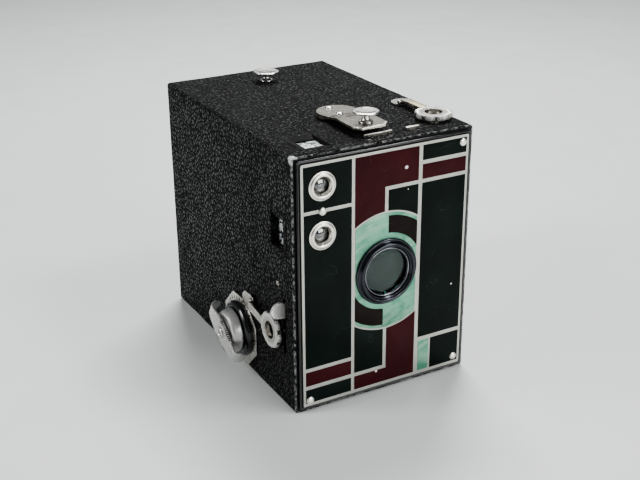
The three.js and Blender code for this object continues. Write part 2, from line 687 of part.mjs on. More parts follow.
// A threaded bush, its mouth at height 0 and its flange inside the shell.
function tripodBush(name) {
  const { bore, body, flange, deep } = BUSH;
  const sheet = INNER_LOW + GAP;
  const profile = [
    [bore, 0.15], [body, 0.15], [body, sheet], [flange, sheet], [flange, sheet + 0.9], [body, sheet + 0.9],
    [body, deep], [0, deep], [0, deep - 1.2], [bore, deep - 1.2],
  ];
  return piece(name, turned(closed(profile), 16), steel);
}

// ---- Assembly ---------------------------------------------------------------------

function leftFace() {
  return faceGroup(Y.clone().negate(), Z, X.clone().negate(), new THREE.Vector3(-SIDE_X, 0, 0));
}

function frontFace() {
  return faceGroup(X, Z, Y.clone().negate(), new THREE.Vector3(0, FACE_Y, 0));
}

function keyGroup() {
  const face = leftFace();
  const axis = new THREE.Group();
  axis.position.set(-KEY.y, KEY.z, 0);
  const key = new THREE.Group();
  key.rotation.z = THREE.MathUtils.degToRad(-KEY.tilt);
  key.add(keyWing(), keyRivet(), keyShaft());
  axis.add(keyEscutcheon(), keyBoss(), keyCup(), key);
  face.add(axis);
  return face;
}

function topCatch() {
  const group = new THREE.Group();
  group.position.set(TOP_CATCH.x, TOP_CATCH.y, HEIGHT);
  group.add(catchBase('top_catch_base', roundOutline(0.8, 2.7, 4.6, 20), TOP_CATCH.low));
  group.add(catchRing('top_catch_ring', TOP_CATCH.reach));
  group.add(placed(catchStud('top_catch_stud'), 0, -TOP_CATCH.reach, 0));
  return group;
}

function sideCatch() {
  const slope = THREE.MathUtils.degToRad(SIDE_CATCH.slope);
  const forward = new THREE.Vector3(0, -Math.cos(slope), -Math.sin(slope));
  const across = new THREE.Vector3(0, -Math.sin(slope), Math.cos(slope));
  const place = new THREE.Vector3(-SIDE_X, SIDE_CATCH.y, SIDE_CATCH.z);
  const group = faceGroup(across, forward.clone().negate(), X.clone().negate(), place);
  const outline = [[3.4, -1.6], [3.9, 1.5], [2.6, 6.8], [0.2, 8.6], [-3.8, 8.2], [-4.6, 4], [-3.8, -1.6]];
  group.add(catchBase('side_catch_base', outline, SIDE_CATCH.low));
  group.add(catchRing('side_catch_ring', SIDE_CATCH.reach));
  group.add(placed(catchStud('side_catch_stud'), 0, -SIDE_CATCH.reach, 0));
  return group;
}

function finders() {
  const top = new THREE.Group();
  top.position.set(TOP_WINDOW.x, TOP_WINDOW.y, HEIGHT);
  top.add(finderHood('finder_hood_top', TOP_WINDOW), finderGlass('finder_glass_top', TOP_WINDOW));

  const sidePlace = new THREE.Vector3(-SIDE_X, SIDE_WINDOW.y, SIDE_WINDOW.z);
  const side = faceGroup(Y.clone().negate(), Z, X.clone().negate(), sidePlace);
  side.add(finderHood('finder_hood_side', SIDE_WINDOW), finderGlass('finder_glass_side', SIDE_WINDOW));

  const upMirror = finderMirror('finder_mirror_upper');
  upMirror.rotation.x = Math.PI / 4;
  upMirror.position.set(FINDER.x + 1, MIRROR_Y - 0.9, FINDER.upperZ - 0.5);
  const out = new THREE.Vector3(-1, -1, 0).normalize();
  const lowerPlace = new THREE.Vector3(FINDER.x + 0.6, MIRROR_Y, FINDER.lowerZ);
  const lower = faceGroup(Z.clone().cross(out), Z, out, lowerPlace);
  lower.add(finderMirror('finder_mirror_lower'));
  return [top, side, upMirror, lower];
}

function frontBoardGroup() {
  const face = frontFace();
  face.add(piece('face_plate', faceSheet(0, -1, 0), enamel));
  face.add(piece('front_board', faceSheet(0.1, -2.2, -1.2), blackSteel));
  face.add(faceRim(), lensRing(), lensRetainer(), frontLens());
  face.add(...Object.entries(RIVETS).map(faceRivet));
  const finderHeights = { upper: FINDER.upperZ, lower: FINDER.lowerZ };
  for (const [which, z] of Object.entries(finderHeights)) {
    face.add(finderEyelet(`finder_eyelet_${which}`, z), finderLens(`finder_lens_${which}`, z));
  }
  return face;
}

function bushes() {
  const base = placed(tripodBush('tripod_bush_base'), 0, BUSH.y, 0);
  const side = placed(tripodBush('tripod_bush_side'), SIDE_X, BUSH.y, LENS_Z);
  side.rotation.y = -Math.PI / 2;
  return [base, side];
}

const camera = new THREE.Group();
camera.add(rearShell(), rearLeatherette(), rubyWindow(), rubyWindowRing());
camera.add(lightCone(), holderPlate(-1, 'holder_plate_left'), holderPlate(1, 'holder_plate_right'));
camera.add(spoolPin('takeup_pin', 1, KEY.z));
camera.add(spoolPin('supply_pin_left', -1, SPOOL.supplyZ), spoolPin('supply_pin_right', 1, SPOOL.supplyZ));
camera.add(takeupSpool());
camera.add(filmRoller('film_roller_top', ROLLER.highZ), filmRoller('film_roller_bottom', ROLLER.lowZ));
camera.add(keyGroup(), topCatch(), sideCatch());
camera.add(placed(strapStud('rear_strap_stud', 4.6, 5.8, 3), 0, STUDS.rearY, HEIGHT + GAP));
camera.add(strapPlate());
const platform = HEIGHT + STRAP.front + GAP;
camera.add(placed(strapStud('front_strap_stud', 4.8, 5.4, 2.9), 0, STUDS.frontY, platform));
camera.add(frontShell(), frontLeatherette(), lightTrapSleeve(), frontBoardGroup(), ...finders());
camera.add(shutterPlate(), shutterDisc(), shutterLever(), apertureStrip(), timeStrip());
camera.add(rearLensBridge(), rearLens(), ...bushes());

export default camera;
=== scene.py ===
"""Looks of the box camera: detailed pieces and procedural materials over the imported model."""

import math

import bmesh
import bpy
from mathutils import Matrix, Vector, noise


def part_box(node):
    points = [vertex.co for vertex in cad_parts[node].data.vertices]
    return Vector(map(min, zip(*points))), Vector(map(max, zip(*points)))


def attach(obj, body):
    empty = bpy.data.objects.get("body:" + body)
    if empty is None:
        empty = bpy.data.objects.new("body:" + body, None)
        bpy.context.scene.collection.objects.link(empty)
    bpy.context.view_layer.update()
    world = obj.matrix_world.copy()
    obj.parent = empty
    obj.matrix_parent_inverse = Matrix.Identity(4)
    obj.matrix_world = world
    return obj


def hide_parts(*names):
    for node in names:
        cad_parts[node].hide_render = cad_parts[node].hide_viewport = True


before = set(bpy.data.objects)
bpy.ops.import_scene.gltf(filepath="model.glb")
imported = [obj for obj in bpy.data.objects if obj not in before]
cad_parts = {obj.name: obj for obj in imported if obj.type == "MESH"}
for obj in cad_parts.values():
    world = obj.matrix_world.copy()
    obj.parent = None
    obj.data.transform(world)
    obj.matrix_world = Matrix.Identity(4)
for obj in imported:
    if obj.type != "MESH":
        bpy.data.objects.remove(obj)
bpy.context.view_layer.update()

MM = 0.001
LOW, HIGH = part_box("rear_leatherette")
SIDE = -LOW.x * 1000  # half the width of the case
TOP = HIGH.z * 1000
BACK = HIGH.y * 1000
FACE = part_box("face_plate")[0].y * 1000
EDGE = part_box("front_leatherette")[0].y * 1000  # the front section's front
SEAM = LOW.y * 1000  # where the two sections meet
FRONT = "front_section"
REAR = "rear_case"


def span(node):
    """The low and high corners of a CAD node's box, in millimetres."""
    return [corner * 1000 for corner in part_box(node)]


def middle(node):
    """The middle of a CAD node, in millimetres."""
    low, high = span(node)
    return (low + high) / 2


# ---- Materials -----------------------------------------------------------------


class Look:
    """A procedural material being put together. Sizes are in millimetres."""

    def __init__(self, name, **values):
        self.mat = bpy.data.materials.new(name)
        self.mat.use_nodes = True
        self.tree = self.mat.node_tree
        self.shader = self.tree.nodes["Principled BSDF"]
        for key, value in values.items():
            self.shader.inputs[key.replace("_", " ")].default_value = value
        self.place = self.node("ShaderNodeTexCoord").outputs["Object"]

    def node(self, kind, inputs=(), **settings):
        made = self.tree.nodes.new(kind)
        for key, value in settings.items():
            setattr(made, key, value)
        for key, value in dict(inputs).items():
            if isinstance(value, bpy.types.NodeSocket):
                self.tree.links.new(value, made.inputs[key])
            else:
                made.inputs[key].default_value = value
        return made

    def set(self, socket, value):
        self.tree.links.new(value, self.shader.inputs[socket])

    def math(self, operation, a, b=0.0):
        return self.node("ShaderNodeMath", {0: a, 1: b}, operation=operation).outputs[0]

    def noise(self, size, detail=3.0, rough=0.55, place=None, output="Fac"):
        inputs = {"Vector": place or self.place, "Scale": 1000 / size, "Detail": detail, "Roughness": rough}
        return self.node("ShaderNodeTexNoise", inputs).outputs[output]

    def cells(self, size, feature="F1", place=None, output="Distance"):
        inputs = {"Vector": place or self.place, "Scale": 1000 / size}
        return self.node("ShaderNodeTexVoronoi", inputs, feature=feature).outputs[output]

    def warped(self, size, amount):
        """The place, pushed about by up to an amount."""
        push = self.noise(size, 2.0, output="Color")
        inputs = {0: push, 1: (0.5, 0.5, 0.5)}
        centred = self.node("ShaderNodeVectorMath", inputs, operation="SUBTRACT")
        inputs = {0: centred.outputs[0], "Scale": amount * 2 * MM}
        scaled = self.node("ShaderNodeVectorMath", inputs, operation="SCALE")
        inputs = {0: self.place, 1: scaled.outputs[0]}
        return self.node("ShaderNodeVectorMath", inputs, operation="ADD").outputs[0]

    def stretched(self, x, y, z):
        inputs = {0: self.place, 1: (x, y, z)}
        return self.node("ShaderNodeVectorMath", inputs, operation="MULTIPLY").outputs[0]

    def step(self, value, start, end, low=0.0, high=1.0):
        inputs = {"Value": value, "From Min": start, "From Max": end, "To Min": low, "To Max": high}
        return self.node("ShaderNodeMapRange", inputs, interpolation_type="SMOOTHSTEP").outputs[0]

    def blend(self, factor, a, b):
        colours = [(*value, 1.0) if isinstance(value, tuple) else value for value in (a, b)]
        inputs = {0: factor, 6: colours[0], 7: colours[1]}
        return self.node("ShaderNodeMix", inputs, data_type="RGBA").outputs[2]

    def near(self, point, size, rough=0.5):
        """1 within a size of a point, with a ragged edge, and 0 outside."""
        place = self.warped(size * 1.2, size * rough)
        inputs = {0: place, 1: Vector(point) * MM}
        distance = self.node("ShaderNodeVectorMath", inputs, operation="DISTANCE").outputs["Value"]
        return self.step(distance, size * 1.1 * MM, size * 0.8 * MM)

    def axes(self):
        split = self.node("ShaderNodeSeparateXYZ", {0: self.place})
        return [split.outputs[i] for i in range(3)]

    def bump(self, height, depth, strength=1.0):
        inputs = {"Height": height, "Distance": depth * MM, "Strength": strength}
        if self.shader.inputs["Normal"].is_linked:
            inputs["Normal"] = self.shader.inputs["Normal"].links[0].from_socket
        self.set("Normal", self.node("ShaderNodeBump", inputs).outputs[0])


def edge_wear(look):
    """How near a place is to an edge of the case, from 0 to 1."""
    x, y, z = look.axes()
    reach = 1.3 * MM
    near_x = look.step(look.math("ABSOLUTE", x), SIDE * MM - reach, SIDE * MM)
    up = look.math("ABSOLUTE", look.math("SUBTRACT", z, TOP / 2 * MM))
    near_z = look.step(up, TOP / 2 * MM - reach, TOP / 2 * MM)
    near_front = look.step(y, EDGE * MM + reach, EDGE * MM)
    near_back = look.step(y, BACK * MM - reach, BACK * MM)
    near_y = look.math("MAXIMUM", near_front, near_back)
    corners = look.math("MULTIPLY", look.math("MULTIPLY", near_x, near_z), 0.3)
    rims = look.math("MULTIPLY", look.math("MAXIMUM", near_x, near_z), near_y)
    return look.math("MAXIMUM", corners, rims)


def leatherette_look():
    look = Look("leatherette", Specular_IOR_Level=0.2)
    place = look.warped(2.2, 0.8)
    edges = look.cells(1.8, "DISTANCE_TO_EDGE", place)
    pebble = look.step(edges, 0.02, 0.32)
    folds = look.step(look.cells(0.8, "DISTANCE_TO_EDGE", look.warped(1.3, 0.5)), 0.0, 0.25)
    patches = look.noise(14, 3.0)
    shade = look.step(look.cells(1.8, "F1", place, "Color"), 0.25, 0.75)
    tone = look.blend(shade, (0.003, 0.0036, 0.004), (0.022, 0.0225, 0.0225))
    # Painted shade: the grooves between the pebbles go almost black, where shade falls in them.
    tone = look.blend(pebble, (0.0001, 0.0002, 0.0003), tone)
    tone = look.blend(look.step(patches, 0.45, 0.75, 0.0, 0.4), tone, (0.0075, 0.0072, 0.007))
    # Painted highlights: small pale specks of sparkle painted into the leatherette's colour.
    painted_sparkle = look.step(look.noise(0.9, 2.0), 0.66, 0.7, 0.0, 0.7)
    tone = look.blend(painted_sparkle, tone, (0.2, 0.21, 0.21))
    ragged = look.step(look.noise(2.0, 5.0, 0.75), 0.44, 0.6)
    wear = look.math("MULTIPLY", look.step(edge_wear(look), 0.1, 0.7), ragged)
    tone = look.blend(look.math("MULTIPLY", wear, 0.85), tone, (0.3, 0.3, 0.3))
    bare = look.near((-SIDE, EDGE, TOP), 3.0)
    look.set("Base Color", look.blend(bare, tone, (0.62, 0.62, 0.62)))
    look.set("Metallic", bare)
    gloss = look.step(pebble, 0.0, 1.0, 0.85, 0.2)
    look.set("Roughness", look.math("ADD", gloss, look.step(patches, 0.3, 0.7, 0.0, 0.1)))
    height = look.math("ADD", look.math("MULTIPLY", pebble, 0.9), look.math("MULTIPLY", folds, 0.2))
    grain = look.math("MULTIPLY", look.noise(0.5, 2.0), 0.14)
    creases = look.math("MULTIPLY", look.noise(4.0, 2.0, 0.5, look.warped(6, 2.0)), 1.2)
    look.bump(look.math("ADD", look.math("ADD", height, grain), creases), 0.4, 1.0)
    return look.mat


def nickel_look(name, base, rough, pits, metal=1.0):
    """Old nickel plate: cloudy, pitted and finely scratched."""
    look = Look(name, Metallic=metal)
    clouds = look.noise(4.5, 5.0, 0.65)
    stain = look.step(look.noise(2.2, 5.0, 0.7), 0.52, 0.78, 0.0, pits)
    dull = tuple(value * (1 - 0.35 * pits) for value in base)
    tone = look.blend(look.step(clouds, 0.3, 0.7), base, dull)
    look.set("Base Color", look.blend(stain, tone, (0.26, 0.23, 0.19)))
    haze = look.step(clouds, 0.3, 0.7, *rough)
    look.set("Roughness", look.math("ADD", haze, look.math("MULTIPLY", stain, 0.3)))
    dots = look.step(look.cells(0.55), 0.32, 0.1, 0.0, pits)
    scratches = look.noise(0.5, 3.0, 0.6, look.stretched(1.0, 0.12, 0.3))
    look.bump(look.math("SUBTRACT", look.math("MULTIPLY", scratches, 0.25), dots), 0.035, 0.7)
    return look.mat


def silver_look():
    """The plated lines between the enamel fields."""
    look = Look("satin_silver", Metallic=0.85, Specular_IOR_Level=0.5)
    brushed = look.noise(0.4, 3.0, 0.6, look.stretched(1.0, 1.0, 0.1))
    clouds = look.noise(7, 4.0, 0.6)
    tone = look.blend(clouds, (0.4, 0.405, 0.375), (0.54, 0.54, 0.5))
    dirt = look.step(look.noise(1.3, 4.0, 0.7), 0.64, 0.78, 0.0, 0.55)
    look.set("Base Color", look.blend(dirt, tone, (0.3, 0.26, 0.2)))
    haze = look.step(brushed, 0.2, 0.8, 0.3, 0.42)
    look.set("Roughness", look.math("ADD", haze, look.math("MULTIPLY", dirt, 0.2)))
    look.bump(brushed, 0.008, 0.5)
    return look.mat


def disc_look():
    """The broad plated areas: satin, rubbed across at a slant, with a pale green cast that is a painted
    reflection of green surroundings over the plate's own silver.
    """
    look = Look("rubbed_silver", Metallic=0.75, Specular_IOR_Level=0.4)
    inputs = {"Vector": look.place, "Angle": math.radians(108)}
    turn = look.node("ShaderNodeVectorRotate", inputs, rotation_type="Y_AXIS")
    inputs = {0: turn.outputs[0], 1: (1.0, 1.0, 0.12)}
    along = look.node("ShaderNodeVectorMath", inputs, operation="MULTIPLY").outputs[0]
    rubs = look.noise(1.6, 5.0, 0.6, along)
    clouds = look.noise(9, 4.0, 0.6)
    dirt = look.step(look.noise(1.6, 4.0, 0.7), 0.66, 0.8, 0.0, 0.4)
    # The green in these tones is painted reflection of green surroundings; the satin silver and the rubbing
    # are the plate's own.
    tone = look.blend(look.step(clouds, 0.38, 0.62), (0.1, 0.29, 0.2), (0.2, 0.43, 0.31))
    tone = look.blend(look.step(rubs, 0.48, 0.66, 0.0, 0.38), tone, (0.44, 0.56, 0.47))
    look.set("Base Color", look.blend(dirt, tone, (0.28, 0.24, 0.18)))
    haze = look.step(rubs, 0.2, 0.8, 0.36, 0.46)
    look.set("Roughness", look.math("ADD", haze, look.math("MULTIPLY", clouds, 0.08)))
    look.bump(rubs, 0.008, 0.5)
    return look.mat


# Chips in the enamel: across, up and size.
CHIPS = [(8.5, 96.5, 0.75), (-4.0, 10.0, 0.55), (32.0, 41.2, 0.45), (9.5, 87.3, 0.3)]


def enamel_look(name, base, deep):
    """Glossy enamel with faint wipe marks, hairline scratches and a few chips."""
    look = Look(name, Specular_IOR_Level=0.12)
    clouds = look.noise(16, 3.0)
    tone = look.blend(look.step(clouds, 0.3, 0.7), base, deep)
    lines = look.step(look.cells(7, "DISTANCE_TO_EDGE", look.warped(9, 4.0)), 0.006, 0.001)
    scratch = look.math("MULTIPLY", lines, look.step(look.noise(9, 2.0), 0.56, 0.66, 0.0, 0.55))
    tone = look.blend(scratch, tone, (0.08, 0.11, 0.1))
    chips = None
    for x, z, size in CHIPS:
        spot = look.near((x, FACE, z), size)
        chips = spot if chips is None else look.math("MAXIMUM", chips, spot)
    look.set("Base Color", look.blend(chips, tone, (0.8, 0.76, 0.72)))
    wiped = look.step(look.noise(8, 5.0, 0.7), 0.35, 0.75, 0.06, 0.2)
    look.set("Roughness", look.math("ADD", wiped, chips))
    look.bump(look.math("SUBTRACT", look.noise(5, 2.0), look.math("MULTIPLY", chips, 2.0)), 0.012, 0.5)
    return look.mat


def paint_look(name, base, rough, coat=0.0, wear=0.0, gloss=0.5):
    """Paint on metal, with a fine orange-peel surface and rubbed spots."""
    look = Look(name, Coat_Weight=coat, Coat_Roughness=0.06, Specular_IOR_Level=gloss)
    clouds = look.noise(5, 4.0, 0.6)
    tone = look.blend(clouds, base, tuple(value * 1.7 for value in base))
    rubbed = look.step(look.noise(1.8, 5.0, 0.72), 0.66, 0.74, 0.0, wear)
    look.set("Base Color", look.blend(rubbed, tone, (0.2, 0.2, 0.2)))
    look.set("Roughness", look.step(clouds, 0.3, 0.7, rough, rough + 0.14))
    look.bump(look.noise(0.6, 2.0), 0.02, 0.5)
    return look.mat


def blued_look():
    """Blackened and polished metal, with a blue cast and bright where it is rubbed."""
    look = Look("blued_metal", Metallic=1.0)
    clouds = look.noise(6, 4.0, 0.6)
    rubbed = look.step(look.noise(2.4, 5.0, 0.7), 0.6, 0.72, 0.0, 0.5)
    tone = look.blend(clouds, (0.032, 0.034, 0.04), (0.075, 0.079, 0.09))
    look.set("Base Color", look.blend(rubbed, tone, (0.3, 0.3, 0.33)))
    look.set("Roughness", look.step(clouds, 0.3, 0.7, 0.14, 0.26))
    look.bump(look.noise(0.5, 3.0, 0.6), 0.01, 0.5)
    return look.mat


def steel_look():
    look = Look("machined_steel", Metallic=1.0)
    turned = look.noise(0.3, 3.0, 0.6, look.stretched(1.0, 0.2, 0.2))
    clouds = look.noise(6, 4.0)
    look.set("Base Color", look.blend(clouds, (0.42, 0.43, 0.44), (0.56, 0.56, 0.55)))
    look.set("Roughness", look.step(turned, 0.2, 0.8, 0.26, 0.46))
    look.bump(turned, 0.015, 0.6)
    return look.mat


def glass_look(name, tint, roughness=0.0, coat=0.3, index=1.5, clear=1.0):
    """Glass with a little dust and wiping marks."""
    look = Look(name, Transmission_Weight=clear, IOR=1.52, Coat_Weight=coat, Coat_IOR=index)
    dust = look.step(look.noise(1.1, 5.0, 0.75), 0.6, 0.85)
    look.set("Base Color", look.blend(dust, tint, tuple(value * 0.86 for value in tint)))
    look.set("Roughness", look.step(dust, 0.0, 1.0, roughness, roughness + 0.12))
    look.bump(look.noise(12, 1.0), 0.004, 0.2)
    return look.mat


def view_glass_look():
    """The finder's bright glass: silvery, with near-white and near-black mottles painted in as painted
    reflections, and a little clouded in its roughness.
    """
    look = Look("view_glass", Metallic=0.35, IOR=1.52)
    clouds = look.noise(2.8, 3.0, 0.6, look.warped(5, 2.5))
    # Painted reflections: mottles of near-white and near-black in the glass's colour.
    tone = look.blend(look.step(clouds, 0.45, 0.54), (0.03, 0.04, 0.05), (0.95, 0.97, 0.97))
    look.set("Base Color", tone)
    look.set("Roughness", look.step(clouds, 0.3, 0.7, 0.05, 0.22))
    look.bump(look.noise(4, 2.0), 0.05, 0.5)
    return look.mat


def mirror_look():
    look = Look("silvered_glass", Metallic=1.0)
    spots = look.step(look.noise(1.5, 5.0, 0.7), 0.62, 0.76)
    look.set("Base Color", look.blend(spots, (0.86, 0.88, 0.88), (0.5, 0.47, 0.42)))
    look.set("Roughness", look.step(spots, 0.0, 1.0, 0.03, 0.3))
    return look.mat


def wood_look():
    look = Look("turned_wood", Specular_IOR_Level=0.35)
    grain = look.noise(0.9, 5.0, 0.65, look.stretched(0.06, 1.0, 1.0))
    pores = look.step(look.noise(0.35, 2.0, 0.5, look.stretched(0.1, 1.0, 1.0)), 0.62, 0.72)
    tone = look.blend(look.step(grain, 0.3, 0.7), (0.16, 0.085, 0.04), (0.33, 0.19, 0.1))
    look.set("Base Color", look.blend(pores, tone, (0.06, 0.03, 0.015)))
    look.set("Roughness", look.step(grain, 0.3, 0.7, 0.45, 0.62))
    look.bump(look.math("SUBTRACT", grain, look.math("MULTIPLY", pores, 0.6)), 0.05, 0.6)
    return look.mat


LEATHERETTE = leatherette_look()
NICKEL = nickel_look("worn_nickel", (0.6, 0.58, 0.54), (0.14, 0.36), 0.6)
BRIGHT = nickel_look("bright_nickel", (0.74, 0.73, 0.7), (0.1, 0.3), 0.25)
PITTED = nickel_look("pitted_nickel", (0.32, 0.3, 0.26), (0.1, 0.36), 1.0, 0.88)
BRASSY = nickel_look("brassy_nickel", (0.56, 0.5, 0.34), (0.25, 0.5), 0.5)
SATIN = nickel_look("satin_nickel", (0.88, 0.85, 0.78), (0.26, 0.38), 0.12)
RUBBED = nickel_look("rubbed_nickel", (0.66, 0.66, 0.64), (0.24, 0.42), 0.4, 0.65)
MILLED = nickel_look("milled_nickel", (0.6, 0.6, 0.58), (0.3, 0.45), 0.5, 0.35)
BURNISHED = nickel_look("burnished_metal", (0.3, 0.3, 0.33), (0.12, 0.3), 0.3)
SILVER = silver_look()
DISC = disc_look()
# The black enamel's faint green tint is partly a painted reflection of green surroundings.
BLACK_ENAMEL = enamel_look("black_enamel", (0.0003, 0.006, 0.004), (0.0002, 0.0024, 0.0018))
MAROON_ENAMEL = enamel_look("maroon_enamel", (0.044, 0.0026, 0.0048), (0.03, 0.002, 0.0036))
LABEL_ENAMEL = enamel_look("brown_enamel", (0.009, 0.004, 0.0035), (0.006, 0.003, 0.0025))
GLOSS = paint_look("gloss_black", (0.002, 0.0022, 0.003), 0.12, 0.4, 0.1)
PAINT = paint_look("satin_black", (0.004, 0.004, 0.0045), 0.36, 0.0, 0.3, 0.3)
FLOCK = paint_look("matt_black", (0.003, 0.003, 0.003), 0.6, 0.0, 0.0, 0.12)
STEEL = steel_look()
BLUED = blued_look()
GLASS = glass_look("clear_glass", (0.92, 0.96, 0.94))
# The lens glass's green tint is partly a painted reflection of green surroundings.
DARK_GLASS = glass_look("lens_glass", (0.07, 0.34, 0.26), 0.06, 0.1)
GLINT_GLASS = glass_look("finder_glass", (0.14, 0.16, 0.16), 0.02, 1.0, 2.2)
VIEW_GLASS = view_glass_look()
RUBY = glass_look("ruby_glass", (0.42, 0.008, 0.012), 0.08, 0.3, 1.5, 0.3)
MIRROR = mirror_look()
WOOD = wood_look()


# ---- Shaping helpers -------------------------------------------------------------


def place_at(origin, across=(1, 0, 0), up=(0, 1, 0), out=(0, 0, 1)):
    """Turns local millimetres (across, up, out) into the camera's metres."""
    columns = Matrix([across, up, out]).transposed().to_4x4()
    return Matrix.Diagonal((MM, MM, MM, 1)) @ Matrix.Translation(origin) @ columns


def on_left(y, z):
    """A place on the left side: local across is forward, up is up and out is left."""
    return place_at((-SIDE, y, z), (0, -1, 0), (0, 0, 1), (-1, 0, 0))


AT_ORIGIN = place_at((0, 0, 0))
ON_FACE = place_at((0, FACE, 0), (1, 0, 0), (0, 0, 1), (0, -1, 0))
ON_TOP = place_at((0, 0, TOP))
ON_BACK = place_at((0, BACK, 0), (-1, 0, 0), (0, 0, 1), (0, 1, 0))


def finished(name, bm, place, body, material, slot, sharp=35, replaces=()):
    """A piece from a bmesh in local millimetres, shaded smooth up to an angle."""
    bmesh.ops.remove_doubles(bm, verts=bm.verts, dist=1e-4)
    bmesh.ops.recalc_face_normals(bm, faces=bm.faces)
    bm.transform(place)
    mesh = bpy.data.meshes.new(name)
    bm.to_mesh(mesh)
    bm.free()
    mesh.shade_smooth()
    mesh.set_sharp_from_angle(angle=math.radians(sharp))
    mesh.materials.append(material)
    obj = bpy.data.objects.new(name, mesh)
    bpy.context.scene.collection.objects.link(obj)
    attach(obj, body)
    if replaces:
        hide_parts(*replaces)


def soften(obj, width):
    """Rounds the hard edges with modifiers; the mesh under them stays as it is."""
    weld = obj.modifiers.new("weld", "WELD")
    weld.merge_threshold = 2e-6
    flat = obj.modifiers.new("flat", "DECIMATE")
    flat.decimate_type = "DISSOLVE"
    flat.angle_limit = math.radians(0.8)
    bevel = obj.modifiers.new("edges", "BEVEL")
    bevel.width = width * MM
    bevel.segments = 3
    bevel.limit_method = "ANGLE"
    bevel.angle_limit = math.radians(28)
    bevel.harden_normals = False
    normal = obj.modifiers.new("shade", "WEIGHTED_NORMAL")
    normal.keep_sharp = False


def turned(name, profile, place, body, material, slot, facets=72, ring=False, **options):
    """A piece turned about the local out axis from [radius, height] points."""
    bm = bmesh.new()
    rows = []
    for radius, height in profile:
        if radius < 1e-6:
            rows.append([bm.verts.new((0, 0, height))])
            continue
        angles = [2 * math.pi * i / facets for i in range(facets)]
        rows.append([bm.verts.new((radius * math.cos(a), radius * math.sin(a), height)) for a in angles])
    pairs = list(zip(rows, rows[1:]))
    if ring:
        pairs.append((rows[-1], rows[0]))
    for one, other in pairs:
        for i in range(facets):
            j = (i + 1) % facets
            corners = [one[i % len(one)], one[j % len(one)], other[j % len(other)], other[i % len(other)]]
            unique = list(dict.fromkeys(corners))
            if len(unique) > 2:
                bm.faces.new(unique)
    finished(name, bm, place, body, material, slot, **options)


def rounded(profile, size=0.15, steps=3, ring=False):
    """A profile with its corners rounded."""
    points = [Vector(point) for point in profile]
    count = len(points)
    result = []
    for i, point in enumerate(points):
        if not ring and i in (0, count - 1):
            result.append(tuple(point))
            continue
        before, after = points[i - 1], points[(i + 1) % count]
        reach = min(size, (before - point).length * 0.45, (after - point).length * 0.45)
        start = point + (before - point).normalized() * reach
        end = point + (after - point).normalized() * reach
        for step in range(steps + 1):
            t = step / steps
            result.append(tuple(start.lerp(point, t).lerp(point.lerp(end, t), t)))
    return result


def slab(name, outlines, low, high, place, body, material, slot, edge=0.05, grow=0.0, **options):
    """A flat piece between two heights; the first outline is its edge and the rest are its holes."""
    curve = bpy.data.curves.new(name, "CURVE")
    curve.dimensions = "2D"
    curve.fill_mode = "BOTH"
    for outline in outlines:
        spline = curve.splines.new("POLY")
        spline.points.add(len(outline) - 1)
        for point, (x, y) in zip(spline.points, outline):
            point.co = (x, y, 0, 1)
        spline.use_cyclic_u = True
    curve.extrude = (high - low) / 2 - edge
    curve.bevel_depth = edge
    curve.bevel_resolution = 2
    curve.offset = grow - edge
    holder = bpy.data.objects.new(name, curve)
    bpy.context.scene.collection.objects.link(holder)
    mesh = bpy.data.meshes.new_from_object(holder)
    bpy.data.objects.remove(holder)
    bpy.data.curves.remove(curve)
    bm = bmesh.new()
    bm.from_mesh(mesh)
    bpy.data.meshes.remove(mesh)
    bmesh.ops.translate(bm, verts=bm.verts, vec=(0, 0, (low + high) / 2))
    finished(name, bm, place, body, material, slot, **options)


def arc(x, y, radius, start, end, step=3.0):
    """Points along an arc, with its angles in degrees."""
    count = max(2, int(abs(end - start) / step) + 1)
    angles = [math.radians(start + (end - start) * i / (count - 1)) for i in range(count)]
    return [(x + radius * math.cos(a), y + radius * math.sin(a)) for a in angles]


def circle(x, y, radius, step=5.0):
    return arc(x, y, radius, 0, 360 - step, step)


def chamfered(x, y, half_x, half_y, cut):
    """A rectangle's outline with its corners cut off."""
    corners = [(1, 1), (-1, 1), (-1, -1), (1, -1)]
    outline = []
    for sx, sy in corners:
        along = (x + sx * (half_x - cut), y + sy * half_y)
        up = (x + sx * half_x, y + sy * (half_y - cut))
        outline += [up, along] if sx * sy > 0 else [along, up]
    return outline


# ---- Leatherette -------------------------------------------------------------------


def cut_grid(bm, spacing):
    """Cuts the mesh along planes, so that it has points to move."""
    low = [min(v.co[i] for v in bm.verts) for i in range(3)]
    high = [max(v.co[i] for v in bm.verts) for i in range(3)]
    for axis in range(3):
        normal = Vector([float(i == axis) for i in range(3)])
        count = int((high[axis] - low[axis]) / spacing)
        for i in range(1, count):
            point = normal * (low[axis] + (high[axis] - low[axis]) * i / count)
            geometry = bm.verts[:] + bm.edges[:] + bm.faces[:]
            bmesh.ops.bisect_plane(bm, geom=geometry, plane_co=point, plane_no=normal, dist=1e-4)


CLOSE = 0.02  # within this, a point is on a face of the case


